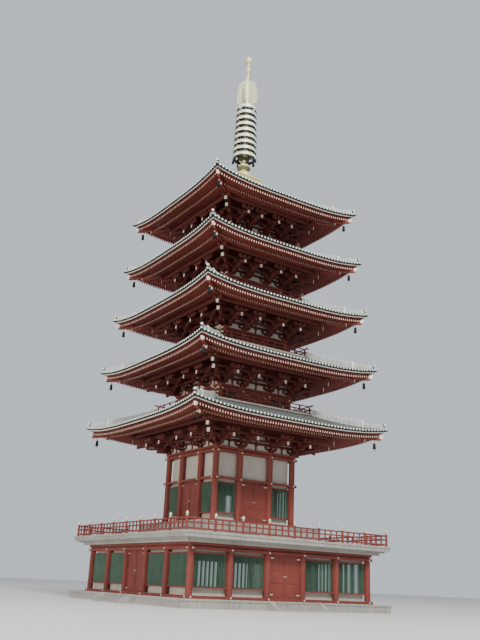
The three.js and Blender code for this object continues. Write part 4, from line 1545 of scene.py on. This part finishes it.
def fenceCaps():
    half, top = podium["railingHalf"], podium["terraceTop"] + podium["railingTop"]
    count = round(2 * half / podium["railingStep"])
    cap = turned(podium["cap"], 12)
    cap.data.transform(shift(-half, -half, top))
    return fourSides(smooth(inRow(cap, count, 2 * half / count), 50))


plateTop = podium["plateTop"] - 0.001
plateBottom = plateTop - podium["plateHeight"]
panelTop = plateBottom - tower["headBeam"]
hall = SimpleNamespace(
    number="hall", columnHalf=max(podium["columns"]), columns=podium["columns"],
    radius=podium["columnRadius"], floor=podium["floor"], doorTop=panelTop, panelTop=panelTop,
    plateBottom=plateBottom, plateTop=plateTop)
frameWork(hall, ["podium_frame"])
finished("plinth_stones", plinthStones(), "stone")
finished("terrace_stones", terraceStones(), "stone")
finished("platform_stones", platformStones(), "stone")
finished("terrace_fence", terraceFence(), "vermilion", ["podium_railing"])
finished("fence_caps", fenceCaps(), "brass")
print("podium dressed")

# What the frame keeps gets its finish

kept = {"podium_walls": "plaster"}
kept.update({name: "stone" for name in ("podium_plinth", "podium_terrace", "tower_platform")})
kept.update({f"walls_{storey.number}": "plaster" for storey in storeys})
# the balcony floors take the darkened vermilion as painted shade
kept.update({f"balcony_{storey.number}": "vermilionShaded" for storey in storeys[1:]})
for name, look in kept.items():
    for slot in bpy.data.objects[name].material_slots:
        slot.material = finish[look]

# The camera, the floor and the light

view = {
    "place": (-36.77, -56.67, 1.6),
    "yaw": 33.24,
    "pitch": 18.78,
    "roll": 2.6,
    "lens": 43.82,
    "sensor": 36.0,
}


def placeCamera():
    yaw, pitch, roll = (math.radians(view[key]) for key in ("yaw", "pitch", "roll"))
    ahead = Vector((math.sin(yaw) * math.cos(pitch), math.cos(yaw) * math.cos(pitch), math.sin(pitch)))
    level = ahead.cross(Vector((0, 0, 1))).normalized()
    upright = level.cross(ahead)
    right = math.cos(roll) * level + math.sin(roll) * upright
    up = -math.sin(roll) * level + math.cos(roll) * upright
    lens = bpy.data.cameras.new("camera")
    lens.lens = view["lens"]
    lens.sensor_width = view["sensor"]
    lens.clip_end = 500
    camera = bpy.data.objects.new("camera", lens)
    bpy.context.collection.objects.link(camera)
    columns = [right, up, -ahead]
    place = Matrix.Identity(4)
    for k, column in enumerate(columns):
        place.col[k] = (*column, 0)
    place.col[3] = (*[modelScale * value for value in view["place"]], 1)
    camera.matrix_world = place
    bpy.context.scene.camera = camera


lighting = {
    "sky": (0.86, 0.92, 1.0),
    "skyStrength": 0.75,
    "key": {"place": (-13, -42, 46), "size": 12, "power": 36000, "color": (1.0, 0.96, 0.9)},
    "fill": {"place": (-40, -8, 2), "size": 20, "power": 10000, "color": (1.0, 0.9, 0.78)},
    "floor": (0.68, 0.67, 0.66),
    "floorSize": 400,
    "aim": (0, 0, 13),
}


def placeLight(name):
    facts = lighting[name]
    lamp = bpy.data.lights.new(name, "AREA")
    lamp.shape = "DISK"
    lamp.size = facts["size"]
    lamp.energy = facts["power"]
    lamp.color = facts["color"]
    light = bpy.data.objects.new(name, lamp)
    bpy.context.collection.objects.link(light)
    light.location = facts["place"]
    aim = Vector(lighting["aim"]) - light.location
    light.rotation_euler = aim.to_track_quat("-Z", "Y").to_euler()


def placeFloor():
    deselectAll()
    bpy.ops.mesh.primitive_plane_add(size=lighting["floorSize"], location=(0, 0, -0.002))
    settle()
    ground = bpy.context.object
    ground.name = "studio_floor"
    paper = bpy.data.materials.new("studio paper")
    paper.use_nodes = True
    shader = paper.node_tree.nodes["Principled BSDF"]
    shader.inputs["Base Color"].default_value = (*lighting["floor"], 1)
    shader.inputs["Roughness"].default_value = 0.9
    ground.data.materials.append(paper)


def lightSky():
    world = bpy.data.worlds.new("studio")
    world.use_nodes = True
    sky = world.node_tree.nodes["Background"]
    sky.inputs["Color"].default_value = (*lighting["sky"], 1)
    sky.inputs["Strength"].default_value = lighting["skyStrength"]
    bpy.context.scene.world = world


placeCamera()
placeLight("key")
placeLight("fill")
placeFloor()
lightSky()
print("camera and light placed")
